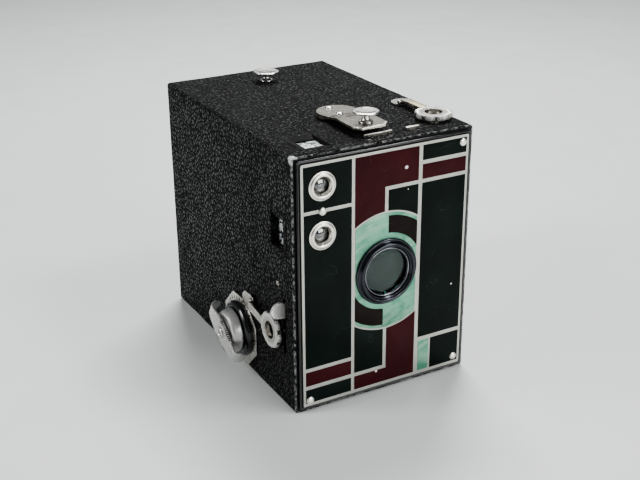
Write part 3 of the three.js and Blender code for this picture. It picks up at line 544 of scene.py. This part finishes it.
def covering(node, body, end):
    """The leatherette of one section: rounded at the case's edges, and a little uneven."""
    bm = bmesh.new()
    bm.from_mesh(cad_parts[node].data)
    bm.transform(Matrix.Diagonal((1000, 1000, 1000, 1)))
    bmesh.ops.remove_doubles(bm, verts=bm.verts, dist=2e-3)
    bmesh.ops.dissolve_limit(bm, angle_limit=0.02, verts=bm.verts, edges=bm.edges)

    def planes(vert):
        """The directions of the case's faces that a point lies on."""
        flags = set()
        if abs(abs(vert.co.x) - SIDE) < CLOSE:
            flags.add("x")
        if min(abs(vert.co.z), abs(vert.co.z - TOP)) < CLOSE:
            flags.add("z")
        if abs(vert.co.y - end) < CLOSE:
            flags.add("y")
        return flags

    corner = [edge for edge in bm.edges if len(planes(edge.verts[0]) & planes(edge.verts[1])) > 1]
    if end == BACK:
        bmesh.ops.bevel(bm, geom=corner, offset=1.2, segments=4, profile=0.5, affect="EDGES")
    else:
        long_ones = [edge for edge in corner if abs(edge.verts[0].co.y - edge.verts[1].co.y) > 5]
        bmesh.ops.bevel(bm, geom=long_ones, offset=0.9, segments=4, profile=0.5, affect="EDGES")
    cut_grid(bm, 3.0)
    for vert in bm.verts:
        x, y, z = vert.co
        outside = max(abs(x) - SIDE + 0.5, 0.5 - min(z, TOP - z), y - BACK + 0.5)
        if outside < 0 or z < 0.3 or abs(y - SEAM) < 0.4:
            continue
        push = noise.noise(vert.co * 0.11) * 0.13 + noise.noise(vert.co * 0.45) * 0.06
        centre = Vector((0, min(y, 40) if end == BACK else y, TOP / 2))
        vert.co -= (vert.co - centre).normalized() * (0.08 + push)
    name = node.replace("leatherette", "covering")
    finished(name, bm, AT_ORIGIN, body, LEATHERETTE, "leatherette", 50, [node])


covering("rear_leatherette", REAR, BACK)
covering("front_leatherette", FRONT, EDGE)


# ---- Front plate ---------------------------------------------------------------------

# The pattern: plated lines, each with its two edges, between a disc and a border.
LENS = middle("lens_ring")
DISC_R = 25.65
DISC_LINE = 0.8  # the plain rim of the disc
LENS_HOLE = 12.3
LABEL_R = (16.3, 23.6)
EYELET_HOLE = 4.4
BORDER_X = 36.5
BORDER_LOW, BORDER_HIGH = 4.4, 104.0
# Upright lines.
LEFT_LINE = (-16.0, -14.3)
RIGHT_LINE = (14.2, 16.2)
MID_LINE = (-1.1, 0.7)  # runs down to the disc, and on below it
PATCH_LINE = (21.6, 22.6)  # beside the plated patch at the foot
# Level lines.
LEFT_UPPER = (85.0, 86.7)
LEFT_MIDDLE = (18.2, 20.1)
LEFT_LOWER = (10.2, 12.2)
RIGHT_UPPER = (96.2, 98.1)
RIGHT_MIDDLE = (88.5, 90.3)  # runs on to the middle upright
RIGHT_LOWER = (18.4, 20.4)
CENTRE_LOWER = (10.3, 12.2)


def box_outline(x0, x1, z0, z1):
    return [(x0, z0), (x1, z0), (x1, z1), (x0, z1)]


def disc_angle(x):
    """The angle at which the disc's edge crosses an upright at x."""
    return math.degrees(math.acos(x / DISC_R))


def disc_edge(x0, x1, top):
    """The disc's edge from x0 to x1, as seen from above or below."""
    start, end = disc_angle(x0), disc_angle(x1)
    sign = 1 if top else -1
    return arc(0, LENS.z, DISC_R + 0.05, sign * start, sign * end, 2.0)


def enamel(name, outline, material):
    """One enamel field, open where a finder eyelet stands in it."""
    holes = []
    for node in ("finder_eyelet_upper", "finder_eyelet_lower"):
        x, _, z = middle(node)
        (x0, x1), (z0, z1) = [(min(values), max(values)) for values in zip(*outline)]
        if x0 < x < x1 and z0 < z < z1:
            holes.append(circle(x, z, EYELET_HOLE))
    slab(name, [outline, *holes], 0.02, 0.14, ON_FACE, FRONT, material, "enamel", 0.05, 0.1)


def enamel_fields():
    left, right = -BORDER_X, BORDER_X
    top, foot = BORDER_HIGH, BORDER_LOW
    black = {
        "left_top": box_outline(left, LEFT_LINE[0], LEFT_UPPER[1], top),
        "left_long": box_outline(left, LEFT_LINE[0], LEFT_MIDDLE[1], LEFT_UPPER[0]),
        "left_bottom": box_outline(left, LEFT_LINE[0], foot, LEFT_LOWER[0]),
        "right_top": box_outline(RIGHT_LINE[1], right, RIGHT_UPPER[1], top),
        "right_long": box_outline(RIGHT_LINE[1], right, RIGHT_LOWER[1], RIGHT_MIDDLE[0]),
        "right_bottom": box_outline(PATCH_LINE[1], right, foot, RIGHT_LOWER[0]),
        "centre_top": [
            (MID_LINE[1], RIGHT_MIDDLE[0]), (RIGHT_LINE[0], RIGHT_MIDDLE[0]),
            *reversed(disc_edge(MID_LINE[1], RIGHT_LINE[0], True)),
        ],
        "centre_low": [
            (LEFT_LINE[1], CENTRE_LOWER[1]), (MID_LINE[0], CENTRE_LOWER[1]),
            *reversed(disc_edge(LEFT_LINE[1], MID_LINE[0], False)),
        ],
    }
    maroon = {
        "centre": [
            (LEFT_LINE[1], top), *disc_edge(LEFT_LINE[1], MID_LINE[0], True),
            (MID_LINE[0], RIGHT_MIDDLE[1]), (RIGHT_LINE[0], RIGHT_MIDDLE[1]), (RIGHT_LINE[0], top),
        ],
        "right": box_outline(RIGHT_LINE[1], right, RIGHT_MIDDLE[1], RIGHT_UPPER[0]),
        "left": box_outline(left, LEFT_LINE[0], LEFT_LOWER[1], LEFT_MIDDLE[0]),
        "foot": [
            (LEFT_LINE[1], foot), (RIGHT_LINE[0], foot),
            *reversed(disc_edge(MID_LINE[1], RIGHT_LINE[0], False)),
            (MID_LINE[1], CENTRE_LOWER[0]), (LEFT_LINE[1], CENTRE_LOWER[0]),
        ],
    }
    for name, outline in black.items():
        enamel(f"black_field_{name}", outline, BLACK_ENAMEL)
    for name, outline in maroon.items():
        enamel(f"maroon_field_{name}", outline, MAROON_ENAMEL)


def sector(x0, x1, r0, r1, top):
    """A part of a ring between two uprights."""
    sign = 1 if top else -1

    def along(radius, start, end):
        limits = [max(-1.0, min(1.0, x / radius)) for x in (start, end)]
        first, last = [sign * math.degrees(math.acos(value)) for value in limits]
        return arc(0, LENS.z, radius, first, last, 2.0)

    inner = along(r0, x1 if abs(x1) < r0 else r0 * 0.999, x0)
    return along(r1, x0, x1) + inner


def label(name, outline):
    """A plain dark field on the disc."""
    slab(f"label_{name}", [outline], 0.08, 0.16, ON_FACE, FRONT, LABEL_ENAMEL, "enamel", 0.03)


def plated_areas():
    """The disc round the lens, with its two labels, and the patch at the foot."""
    radius = DISC_R - DISC_LINE
    sides = (LEFT_LINE[1] + 0.1, RIGHT_LINE[0] - 0.1)
    turns = [math.degrees(math.acos(x / radius)) for x in sides]
    upper = arc(0, LENS.z, radius, turns[0], turns[1], 2.0)
    lower = arc(0, LENS.z, radius, -turns[1], -turns[0], 2.0)
    hole = circle(0, LENS.z, LENS_HOLE, 4.0)
    slab("lens_disc", [upper + lower, hole], 0.01, 0.1, ON_FACE, FRONT, DISC, "nickel", 0.03)
    label("upper", sector(MID_LINE[1] + 0.1, RIGHT_LINE[0], *LABEL_R, True))
    label("lower", sector(LEFT_LINE[1], MID_LINE[0] - 0.1, *LABEL_R, False))
    patch = box_outline(RIGHT_LINE[1] + 0.1, PATCH_LINE[0], BORDER_LOW, RIGHT_LOWER[0])
    slab("foot_patch", [patch], 0.01, 0.1, ON_FACE, FRONT, DISC, "nickel", 0.03)


def face_bead():
    """The rounded bead between the leatherette's edge and the plate."""
    low, high = span("face_rim")
    mid, half_z = (low.z + high.z) / 2, (high.z - low.z) / 2
    width = 1.05
    outer = chamfered(0, mid, high.x, half_z, 0.8)
    inner = chamfered(0, mid, high.x - width, half_z - width, 0.7)
    slab("face_bead", [outer, inner], -1.7, -0.3, ON_FACE, FRONT, GLOSS, "black_gloss", 0.45,
         replaces=["face_rim"])


def soft_node(node, material, width):
    """Gives a CAD node that stays its look, with its edges rounded."""
    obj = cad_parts[node]
    obj.material_slots[0].material = material
    if width:
        soften(obj, width)


enamel_fields()
plated_areas()
face_bead()
soft_node("face_plate", SILVER, 0.15)


# ---- Lens and finder eyelets -----------------------------------------------------------


def at_face(node, height=0.0):
    x, _, z = middle(node)
    return ON_FACE @ Matrix.Translation((x, z, height))


def lens():
    ring = [
        (12.2, 0.1), (14.0, 0.1), (14.1, 0.6), (13.8, 1.05), (13.45, 1.1), (13.2, 0.95), (12.95, 1.25),
        (12.6, 1.8), (12.45, 2.2), (12.0, 2.45), (11.6, 2.4), (11.35, 2.1), (11.2, 1.7), (11.0, 1.75),
        (10.8, 1.5), (10.5, 1.2), (10.5, -3.0), (12.2, -3.0),
    ]
    place = at_face("lens_ring")
    turned("lens_bezel", rounded(ring, 0.2, 3, True), place, FRONT, BLUED, "black_gloss", 96, True,
           sharp=50, replaces=["lens_ring"])
    # The lock ring is in lighter burnished metal than the blued bezel: a painted highlight, the bright line
    # round the glass.
    retainer = [(9.6, 0.1), (10.3, 0.1), (10.3, 1.0), (10.1, 1.15), (9.9, 1.05), (9.65, 0.6)]
    turned("lens_lock_ring", rounded(retainer, 0.12, 2, True), place, FRONT, BURNISHED, "steel", 96, True,
           sharp=50, replaces=["lens_retainer"])
    edge = 10.1
    glass = [(0.0, -1.2), (3, -1.25), (6, -1.4), (edge, -1.8), (edge, -0.55)]
    crown = [(r, 0.6 - 1.15 * (r / edge) ** 2) for r in range(9, -1, -1)]
    turned("lens_glass", glass + crown, place, FRONT, DARK_GLASS, "glass", 72,
           sharp=45, replaces=["front_lens"])


def eyelet(which):
    place = at_face(f"finder_eyelet_{which}")
    profile = [
        (4.3, 0.1), (5.75, 0.1), (5.85, 0.3), (5.7, 0.5), (5.35, 0.55), (5.2, 0.7), (4.8, 1.02),
        (4.4, 1.1), (4.0, 1.0), (3.75, 0.7), (3.5, 0.2), (3.2, -0.5), (3.8, -0.5), (3.8, -3.4),
        (4.3, -3.4),
    ]
    turned(f"eyelet_{which}", rounded(profile, 0.16, 3, True), place, FRONT, SATIN, "nickel", 72, True,
           sharp=60, replaces=[f"finder_eyelet_{which}"])
    edge = 3.5
    crown = [(r, -0.3 - 1.5 * (r / edge) ** 2) for r in (edge, 3.0, 2.4, 1.8, 1.2, 0.6, 0.0)]
    turned(f"eyelet_lens_{which}", [(0.0, -2.1), (edge, -2.1)] + crown, place, FRONT, GLINT_GLASS,
           "glass", 48, sharp=45, replaces=[f"finder_lens_{which}"])


def rivet_head(name, place, radius, height, body, replaces=(), material=BRIGHT):
    """A domed head, on a short straight edge."""
    profile = [(0.0, 0.05), (radius, 0.05), (radius, height * 0.25)]
    for step in range(1, 6):
        angle = math.radians(15 * step)
        profile.append((radius * math.cos(angle) * 0.97, height * (0.3 + 0.7 * math.sin(angle))))
    profile.append((0.0, height))
    turned(name, profile, place, body, material, "nickel", 40, sharp=50, replaces=replaces)


def face_studs():
    for corner in ("upper_left", "upper_right", "lower_left", "lower_right"):
        node = f"face_rivet_{corner}"
        rivet_head(f"face_stud_{corner}", at_face(node), 1.65, 0.9, FRONT, [node], SATIN)


lens()
eyelet("upper")
eyelet("lower")
face_studs()


# ---- Winding key ---------------------------------------------------------------------

KEY = middle("key_cup")
TILT = math.radians(-30)  # how the wing is turned
TONGUE = 3.0  # half-width of the wing's bent ends
TIP = 4.4  # height of their ends
KEY_FLAT = 9.45  # height of the wing's middle
ON_KEY = on_left(KEY.y, KEY.z)
ON_WING = ON_KEY @ Matrix.Rotation(TILT, 4, "Z")


def key_plate():
    """The octagonal plate, with plain marks near its upper edge."""
    low, high = span("key_escutcheon")
    half = (high.z - low.z) / 2
    outline = chamfered(0, 0, half, half, 8.7)
    hole = circle(0, 0, 5.9)
    slab("key_plate", [outline, hole], 0.1, 0.62, ON_KEY, REAR, NICKEL, "nickel", 0.16,
         replaces=["key_escutcheon"])
    mark = chamfered(0, 13.6, 0.3, 0.75, 0.12)
    for index in range(9):
        turn = Matrix.Rotation(math.radians(-44 + 11 * index), 4, "Z")
        slab(f"key_plate_mark_{index}", [mark], 0.5, 0.72, ON_KEY @ turn, REAR, GLOSS, "black_gloss", 0.06)


def key_collar():
    profile = [
        (5.4, 0.7), (12.3, 0.7), (12.35, 1.6), (12.1, 2.5), (11.4, 3.15), (10.7, 3.35), (10.3, 3.1),
        (9.8, 3.15), (9.2, 3.4), (5.4, 3.4),
    ]
    turned("key_collar", rounded(profile, 0.25, 3, True), ON_KEY, REAR, GLOSS, "black_gloss", 80, True,
           sharp=50, replaces=["key_boss"])


def key_drum():
    profile = [
        (2.9, 0.8), (4.9, 0.8), (4.9, 3.7), (9.5, 3.7), (9.65, 4.1), (9.4, 5.4), (9.05, 6.8), (8.5, 7.8),
        (7.7, 8.1), (7.0, 7.9), (6.4, 7.5), (5.2, 7.5), (4.6, 7.9), (2.9, 8.0),
    ]
    turned("key_drum", rounded(profile, 0.22, 3, True), ON_KEY, "key_hub", RUBBED, "nickel", 80, True,
           sharp=50, replaces=["key_cup"])


def key_pin_head():
    profile = [
        (1.1, 8.8), (1.6, 8.8), (1.6, 10.05), (2.55, 10.05), (2.55, 10.3), (2.35, 10.6), (1.95, 10.72),
        (1.4, 10.68), (1.15, 10.4),
    ]
    turned("key_pin_head", rounded(profile, 0.12, 3, True), ON_WING, "winding_key", BRIGHT, "nickel", 48,
           True, sharp=50, replaces=["key_rivet"])


def wing_path(steps=54):
    """The wing's middle line from its centre to one end, in the side view."""
    bend = rounded([(0, KEY_FLAT), (11.0, KEY_FLAT), (12.5, 9.3), (13.6, 8.5), (14.1, 7.4)], 2.0, 6)
    tip = [(14.13, TIP + h) for h in (2.5, 2.0, 1.5, 1.0, 0.6, 0.3, 0.12, 0.06)]
    flat = [(10.6 * i / steps, KEY_FLAT) for i in range(steps)]
    return flat + [point for point in bend if point[0] > 10.65] + tip


def wing_half_width(x, h):
    """Broad over the drum, then a tongue with a round end."""
    half = TONGUE + 2.4 * math.cos(math.pi * min(x, 15) / 30) ** 2
    below = TONGUE + TIP - h
    return half if below < 0 else math.sqrt(TONGUE**2 - min(below, TONGUE * 0.985) ** 2)


def wing_lift(x, across, upper):
    """How far a face of the leaf stands off its middle line; across is -1 to 1."""
    rim = max(0.0, (abs(across) - 0.62) / 0.38)
    lift = 0.55 - 2.2 * max(0.0, abs(across) - 0.9)
    if upper and abs(x) < 11:
        lift += 0.6 * rim * (1 - rim)
        if abs(across) < 0.99:
            lift += 0.3 * rim * math.sin(x * 6.4)
    return lift


def key_wing():
    """A leaf with ribbed long edges and its ends bent down."""
    half = wing_path()
    line = [(-x, h) for x, h in reversed(half[1:])] + half
    across = [-1, -0.97, -0.9, -0.8, -0.7, -0.55, -0.3, 0, 0.3, 0.55, 0.7, 0.8, 0.9, 0.97, 1]
    bm = bmesh.new()
    sheets = []
    for side in (1, -1):
        rows = []
        for i, (x, h) in enumerate(line):
            one, other = Vector(line[max(i - 1, 0)]), Vector(line[min(i + 1, len(line) - 1)])
            along = (other - one).normalized()
            normal = Vector((-along.y, along.x))
            row = []
            for v in across:
                point = Vector((x, h)) + normal * wing_lift(x, v, side > 0) * side
                rib = 0.06 * math.sin(x * 6.6) if abs(v) > 0.95 and abs(x) < 8 else 0.0
                row.append(bm.verts.new((point.x, v * wing_half_width(abs(x), h) * (1 + rib), point.y)))
            rows.append(row)
        sheets.append(rows)
    for rows in sheets:
        for one, other in zip(rows, rows[1:]):
            for j in range(len(across) - 1):
                bm.faces.new([one[j], one[j + 1], other[j + 1], other[j]])
    top, bottom = sheets
    for j in (0, len(across) - 1):
        for i in range(len(line) - 1):
            bm.faces.new([top[i][j], top[i + 1][j], bottom[i + 1][j], bottom[i][j]])
    for i in (0, len(line) - 1):
        for j in range(len(across) - 1):
            bm.faces.new([top[i][j], top[i][j + 1], bottom[i][j + 1], bottom[i][j]])
    finished("key_leaf", bm, ON_WING, "winding_key", RUBBED, "nickel", 50, ["key_wing"])


def wing_notch_shade():
    """Black gloss pieces in the notches between the ribs along the wing's two long edges: painted shade."""
    outlines = []
    for side in (1, -1):
        for index in range(12):
            x = -2.2 + 0.85 * index
            edge = wing_half_width(abs(x), KEY_FLAT)
            near, far = sorted((side * (edge - 0.8), side * (edge + 0.06)))
            outlines.append(box_outline(x - 0.19, x + 0.19, near, far))
    # Painted shade in the notches, as black gloss slabs.
    slab("key_leaf_notch_shade", outlines, KEY_FLAT - 0.2, KEY_FLAT + 0.7, ON_WING, "winding_key", GLOSS,
         "black_gloss", 0.04)


key_plate()
key_collar()
key_drum()
key_pin_head()
key_wing()
wing_notch_shade()


# ---- Ring catches ----------------------------------------------------------------------

TOP_HINGE = place_at((32, -22.9, TOP))
TOP_REACH = 21.7  # from the hinge to the middle of the ring
SIDE_REACH = 19.4
SLOPE = math.radians(8.3)  # of the side catch
SLOPE_UP = (0, -math.sin(SLOPE), math.cos(SLOPE))
SLOPE_BACK = (0, math.cos(SLOPE), math.sin(SLOPE))
SIDE_HINGE = place_at((-SIDE, -23.9, 33.9), SLOPE_UP, SLOPE_BACK, (-1, 0, 0))
RIM_R = 7.17
TEETH = 40  # round the milled rim of a ring


def octagon_radius(angle, apothem):
    return apothem / math.cos(math.radians(angle % 45) - math.pi / 8)


def milled_rim(name, place, reach, body):
    """The milled rim that stands on an octagonal ring."""
    bm = bmesh.new()
    count = 6 * TEETH
    rows = []
    for i in range(count):
        angle = 360 * i / count
        turn = math.radians(angle)
        groove = 0.1 + 0.1 * math.cos(turn * TEETH)
        outer = octagon_radius(angle, RIM_R)
        edge = outer - groove
        section = [
            (outer - 1.9, 2.72), (outer - 1.75, 2.86), (outer - 1.2, 2.98 - groove),
            (outer - 0.6, 3.0 - groove), (edge - 0.1, 2.84), (edge + 0.12, 2.4), (edge + 0.15, 1.9),
            (edge + 0.12, 1.3), (edge - 0.1, 0.95), (outer - 1.9, 1.0),
        ]
        row = [(r * math.cos(turn), r * math.sin(turn) - reach, height) for r, height in section]
        rows.append([bm.verts.new(point) for point in row])
    for one, other in zip(rows, rows[1:] + rows[:1]):
        for j in range(len(one)):
            k = (j + 1) % len(one)
            bm.faces.new([one[j], one[k], other[k], other[j]])
    finished(name, bm, place, body, MILLED, "nickel", 50)


milled_rim("top_catch_milling", TOP_HINGE, TOP_REACH, "top_catch")
milled_rim("side_catch_milling", SIDE_HINGE, SIDE_REACH, "side_catch")


# ---- Small parts: lips, teeth, strap fittings, rivets and window --------------------------


def strip_lip(node, body):
    """The lip on the end of a strip that is pulled up through the top, in brighter satin nickel than the
    strip: a painted highlight along its top edge.
    """
    low, high = span(node)
    x, y = (low.x + high.x) / 2, (low.y + high.y) / 2
    lip = chamfered(x, y, (high.x - low.x) / 2 - 0.05, 0.6, 0.25)
    slab(f"{node}_lip", [lip], high.z - 0.35, high.z + 0.03, AT_ORIGIN, body, SATIN, "nickel", 0.1)


def catch_arm_face():
    """The yellowed face of the top catch's arm."""
    arm = chamfered(0, -9.2, 1.7, 5.0, 0.3)
    slab("top_catch_arm_face", [arm], 2.7, 2.98, TOP_HINGE, "top_catch", BRASSY, "nickel", 0.1)


def lever_knurl():
    """Fine teeth round the edge of the lever's tab."""
    low, high = span("shutter_lever")
    reach, rise = 5.4, 3.66  # from the middle of the tab's edge
    long, half_wide = 0.7, 0.13  # of a tooth
    inset = 0.95
    x, z = low.x + reach, high.z - rise
    teeth = []
    for turn in range(95, 285, 10):
        angle = math.radians(turn)
        along = Vector((math.cos(angle), math.sin(angle)))
        across = Vector((-along.y, along.x)) * half_wide
        start = Vector((x + (reach - inset) * along.x, z + (rise - inset) * along.y))
        end = start + along * long
        teeth.append([start - across, end - across, end + across, start + across])
    place = place_at((0, low.y, 0), (1, 0, 0), (0, 0, 1), (0, -1, 0))
    # The teeth are brighter satin nickel on the rubbed lever: a painted highlight on the teeth.
    slab("lever_knurl", teeth, -0.1, 0.16, place, "lever", SATIN, "nickel", 0.04)


def strap_stud(name, node, height, cap, foot):
    """A stud with a dished cap, on a waisted foot."""
    under = height - 0.95
    profile = [
        (0.0, 0.0), (foot, 0.0), (foot + 0.05, 0.3), (foot - 0.25, 0.6), (foot - 1.0, 0.85),
        (1.75, 1.05), (1.45, 1.5), (1.5, under - 0.5), (1.9, under - 0.2), (cap - 0.6, under),
        (cap - 0.1, under + 0.15), (cap, under + 0.4), (cap - 0.1, under + 0.65),
        (cap - 0.5, under + 0.8), (cap * 0.78, height - 0.12), (cap * 0.62, height - 0.28),
        (cap * 0.4, height - 0.38), (0.0, height - 0.42),
    ]
    x, y, _ = middle(node)
    foot_z = span(node)[0].z
    turned(name, rounded(profile, 0.2, 3), place_at((x, y, foot_z)), REAR, BRIGHT, "nickel", 56,
           sharp=55, replaces=[node])


def strap_plate_lip():
    """The rolled edge along the front of the strap plate, in bright satin nickel on the darker pitted
    plate: a painted highlight along the front edge.
    """
    half = 7.8  # of the plate's square front part
    front = -43.2 - half
    slant = 2.66  # its cut corners
    inward, outward = 0.75, 0.1
    far, near = half + outward, half - inward
    outer_y, inner_y = front - outward, front + inward
    edge = [
        (-far, outer_y + slant), (-far + slant, outer_y), (far - slant, outer_y), (far, outer_y + slant),
        (near, inner_y + slant), (near - slant, inner_y), (-near + slant, inner_y),
        (-near, inner_y + slant),
    ]
    slab("strap_plate_lip", [edge], 2.35, 3.6, ON_TOP, REAR, SATIN, "nickel", 0.35)


def small_rivets():
    """Two that hold the strap plate, and two on the left side."""
    for index, (x, y) in enumerate([(-0.7, -17.1), (-1.0, -26.3)]):
        place = ON_TOP @ Matrix.Translation((x, y, 2.2))
        rivet_head(f"strap_rivet_{index}", place, 1.5, 0.75, REAR)
    sunk = Matrix.Translation((0, 0, -0.1))
    for index, (y, z, radius, look) in enumerate([(-46.4, 52.6, 1.25, PITTED), (-51.4, 33.9, 0.8, PAINT)]):
        rivet_head(f"side_rivet_{index}", on_left(y, z) @ sunk, radius, 0.6, FRONT, (), look)


def window_bezel():
    """The ring round the ruby window in the back."""
    profile = [
        (5.4, 0.1), (8.6, 0.1), (8.65, 0.3), (8.3, 0.6), (7.6, 0.75), (6.9, 0.7), (6.3, 0.35), (5.6, 0.3),
    ]
    place = ON_BACK @ Matrix.Translation((0, middle("ruby_window").z, 0))
    turned("window_bezel", rounded(profile, 0.12, 3, True), place, REAR, NICKEL, "nickel", 72, True,
           sharp=50, replaces=["ruby_window_ring"])


strip_lip("aperture_strip", "aperture")
strip_lip("time_strip", "time")
catch_arm_face()
lever_knurl()
strap_plate_lip()
strap_stud("front_strap_button", "front_strap_stud", 4.8, 5.4, 2.9)
strap_stud("rear_strap_button", "rear_strap_stud", 4.6, 5.8, 3.0)
small_rivets()
window_bezel()


# ---- CAD nodes that stay: each with its look and the width of its rounded edges -----------

KEPT = {
    "rear_shell": (PAINT, 0.2),
    "front_shell": (PAINT, 0.2),
    "light_trap_sleeve": (FLOCK, 0.15),
    "light_cone": (FLOCK, 0.2),
    "holder_plate_left": (PAINT, 0.2),
    "holder_plate_right": (PAINT, 0.2),
    "takeup_pin": (STEEL, 0.1),
    "supply_pin_left": (STEEL, 0.1),
    "supply_pin_right": (STEEL, 0.1),
    "takeup_spool": (WOOD, 0.15),
    "film_roller_top": (NICKEL, 0.1),
    "film_roller_bottom": (NICKEL, 0.1),
    "key_shaft": (STEEL, 0.1),
    "top_catch_base": (NICKEL, 0.12),
    "side_catch_base": (NICKEL, 0.12),
    "top_catch_ring": (NICKEL, 0.2),
    "side_catch_ring": (NICKEL, 0.2),
    "top_catch_stud": (SATIN, 0.0),
    "side_catch_stud": (SATIN, 0.0),
    "strap_plate": (PITTED, 0.45),
    "front_board": (PAINT, 0.1),
    "finder_hood_top": (FLOCK, 0.1),
    "finder_hood_side": (LEATHERETTE, 0.1),
    "finder_glass_top": (VIEW_GLASS, 0.05),
    "finder_glass_side": (VIEW_GLASS, 0.05),
    "finder_mirror_upper": (MIRROR, 0.05),
    "finder_mirror_lower": (MIRROR, 0.05),
    "shutter_plate": (PAINT, 0.1),
    "shutter_disc": (FLOCK, 0.05),
    "shutter_lever": (RUBBED, 0.2),
    "aperture_strip": (NICKEL, 0.12),
    "time_strip": (NICKEL, 0.12),
    "rear_lens": (GLASS, 0.0),
    "rear_lens_bridge": (STEEL, 0.1),
    "ruby_window": (RUBY, 0.05),
    "tripod_bush_base": (STEEL, 0.15),
    "tripod_bush_side": (STEEL, 0.15),
}
for node, (material, width) in KEPT.items():
    soft_node(node, material, width)


# ---- Stage, light and camera -------------------------------------------------------------


def floor_look():
    """Plain and pale, very slightly uneven."""
    look = Look("floor", Specular_IOR_Level=0.4)
    clouds = look.noise(60, 3.0)
    look.set("Base Color", look.blend(clouds, (0.72, 0.74, 0.73), (0.76, 0.775, 0.765)))
    look.set("Roughness", look.step(look.noise(25, 4.0), 0.3, 0.7, 0.3, 0.38))
    return look.mat


FLOOR = 3.0  # half its width, in metres


def stage():
    bm = bmesh.new()
    bmesh.ops.create_grid(bm, x_segments=8, y_segments=8, size=FLOOR)
    mesh = bpy.data.meshes.new("floor")
    bm.to_mesh(mesh)
    bm.free()
    mesh.materials.append(floor_look())
    floor = bpy.data.objects.new("floor", mesh)
    bpy.context.scene.collection.objects.link(floor)


def lamp(name, power, size, position, target):
    light = bpy.data.lights.new(name, "AREA")
    light.energy = power
    light.shape = "RECTANGLE"
    light.size, light.size_y = size
    obj = bpy.data.objects.new(name, light)
    bpy.context.scene.collection.objects.link(obj)
    obj.location = position
    obj.rotation_euler = (Vector(target) - Vector(position)).to_track_quat("-Z", "Y").to_euler()


def world_light(colour, strength):
    world = bpy.data.worlds.new("world")
    world.use_nodes = True
    background = world.node_tree.nodes["Background"]
    background.inputs["Color"].default_value = (*colour, 1)
    background.inputs["Strength"].default_value = strength
    bpy.context.scene.world = world


def camera(position, direction, roll, focal_length):
    lens = bpy.data.cameras.new("camera")
    lens.lens = focal_length
    lens.sensor_width = 36
    lens.clip_start = 0.01
    obj = bpy.data.objects.new("camera", lens)
    bpy.context.scene.collection.objects.link(obj)
    obj.location = position
    aim = Vector(direction).to_track_quat("-Z", "Y")
    obj.rotation_mode = "QUATERNION"
    obj.rotation_quaternion = aim @ Matrix.Rotation(math.radians(roll), 4, "Z").to_quaternion()
    bpy.context.scene.camera = obj


stage()
camera(position=(-0.2120, -0.39135, 0.2373), direction=(0.4437, 0.8034, -0.3970), roll=-0.46,
       focal_length=61.27)
lamp("key", 9, (0.45, 0.3), (0.3, 0.45, 0.85), (0, 0, 0.06))
lamp("crest", 3, (0.3, 0.3), (0.48, -0.42, 0.9), (0, 0, 0.1))
lamp("back", 1.3, (0.9, 0.5), (0.75, 1.4, 0.78), (0, 0, 0.1))
lamp("left", 5, (0.35, 0.5), (-0.85, 0.2, 0.5), (0, 0, 0.05))
lamp("front", 7, (0.9, 0.45), (0.3, -0.95, 0.4), (0, 0, 0.05))
world_light((0.86, 0.9, 0.93), 0.2)
bpy.context.scene.view_settings.look = "AgX - Medium High Contrast"
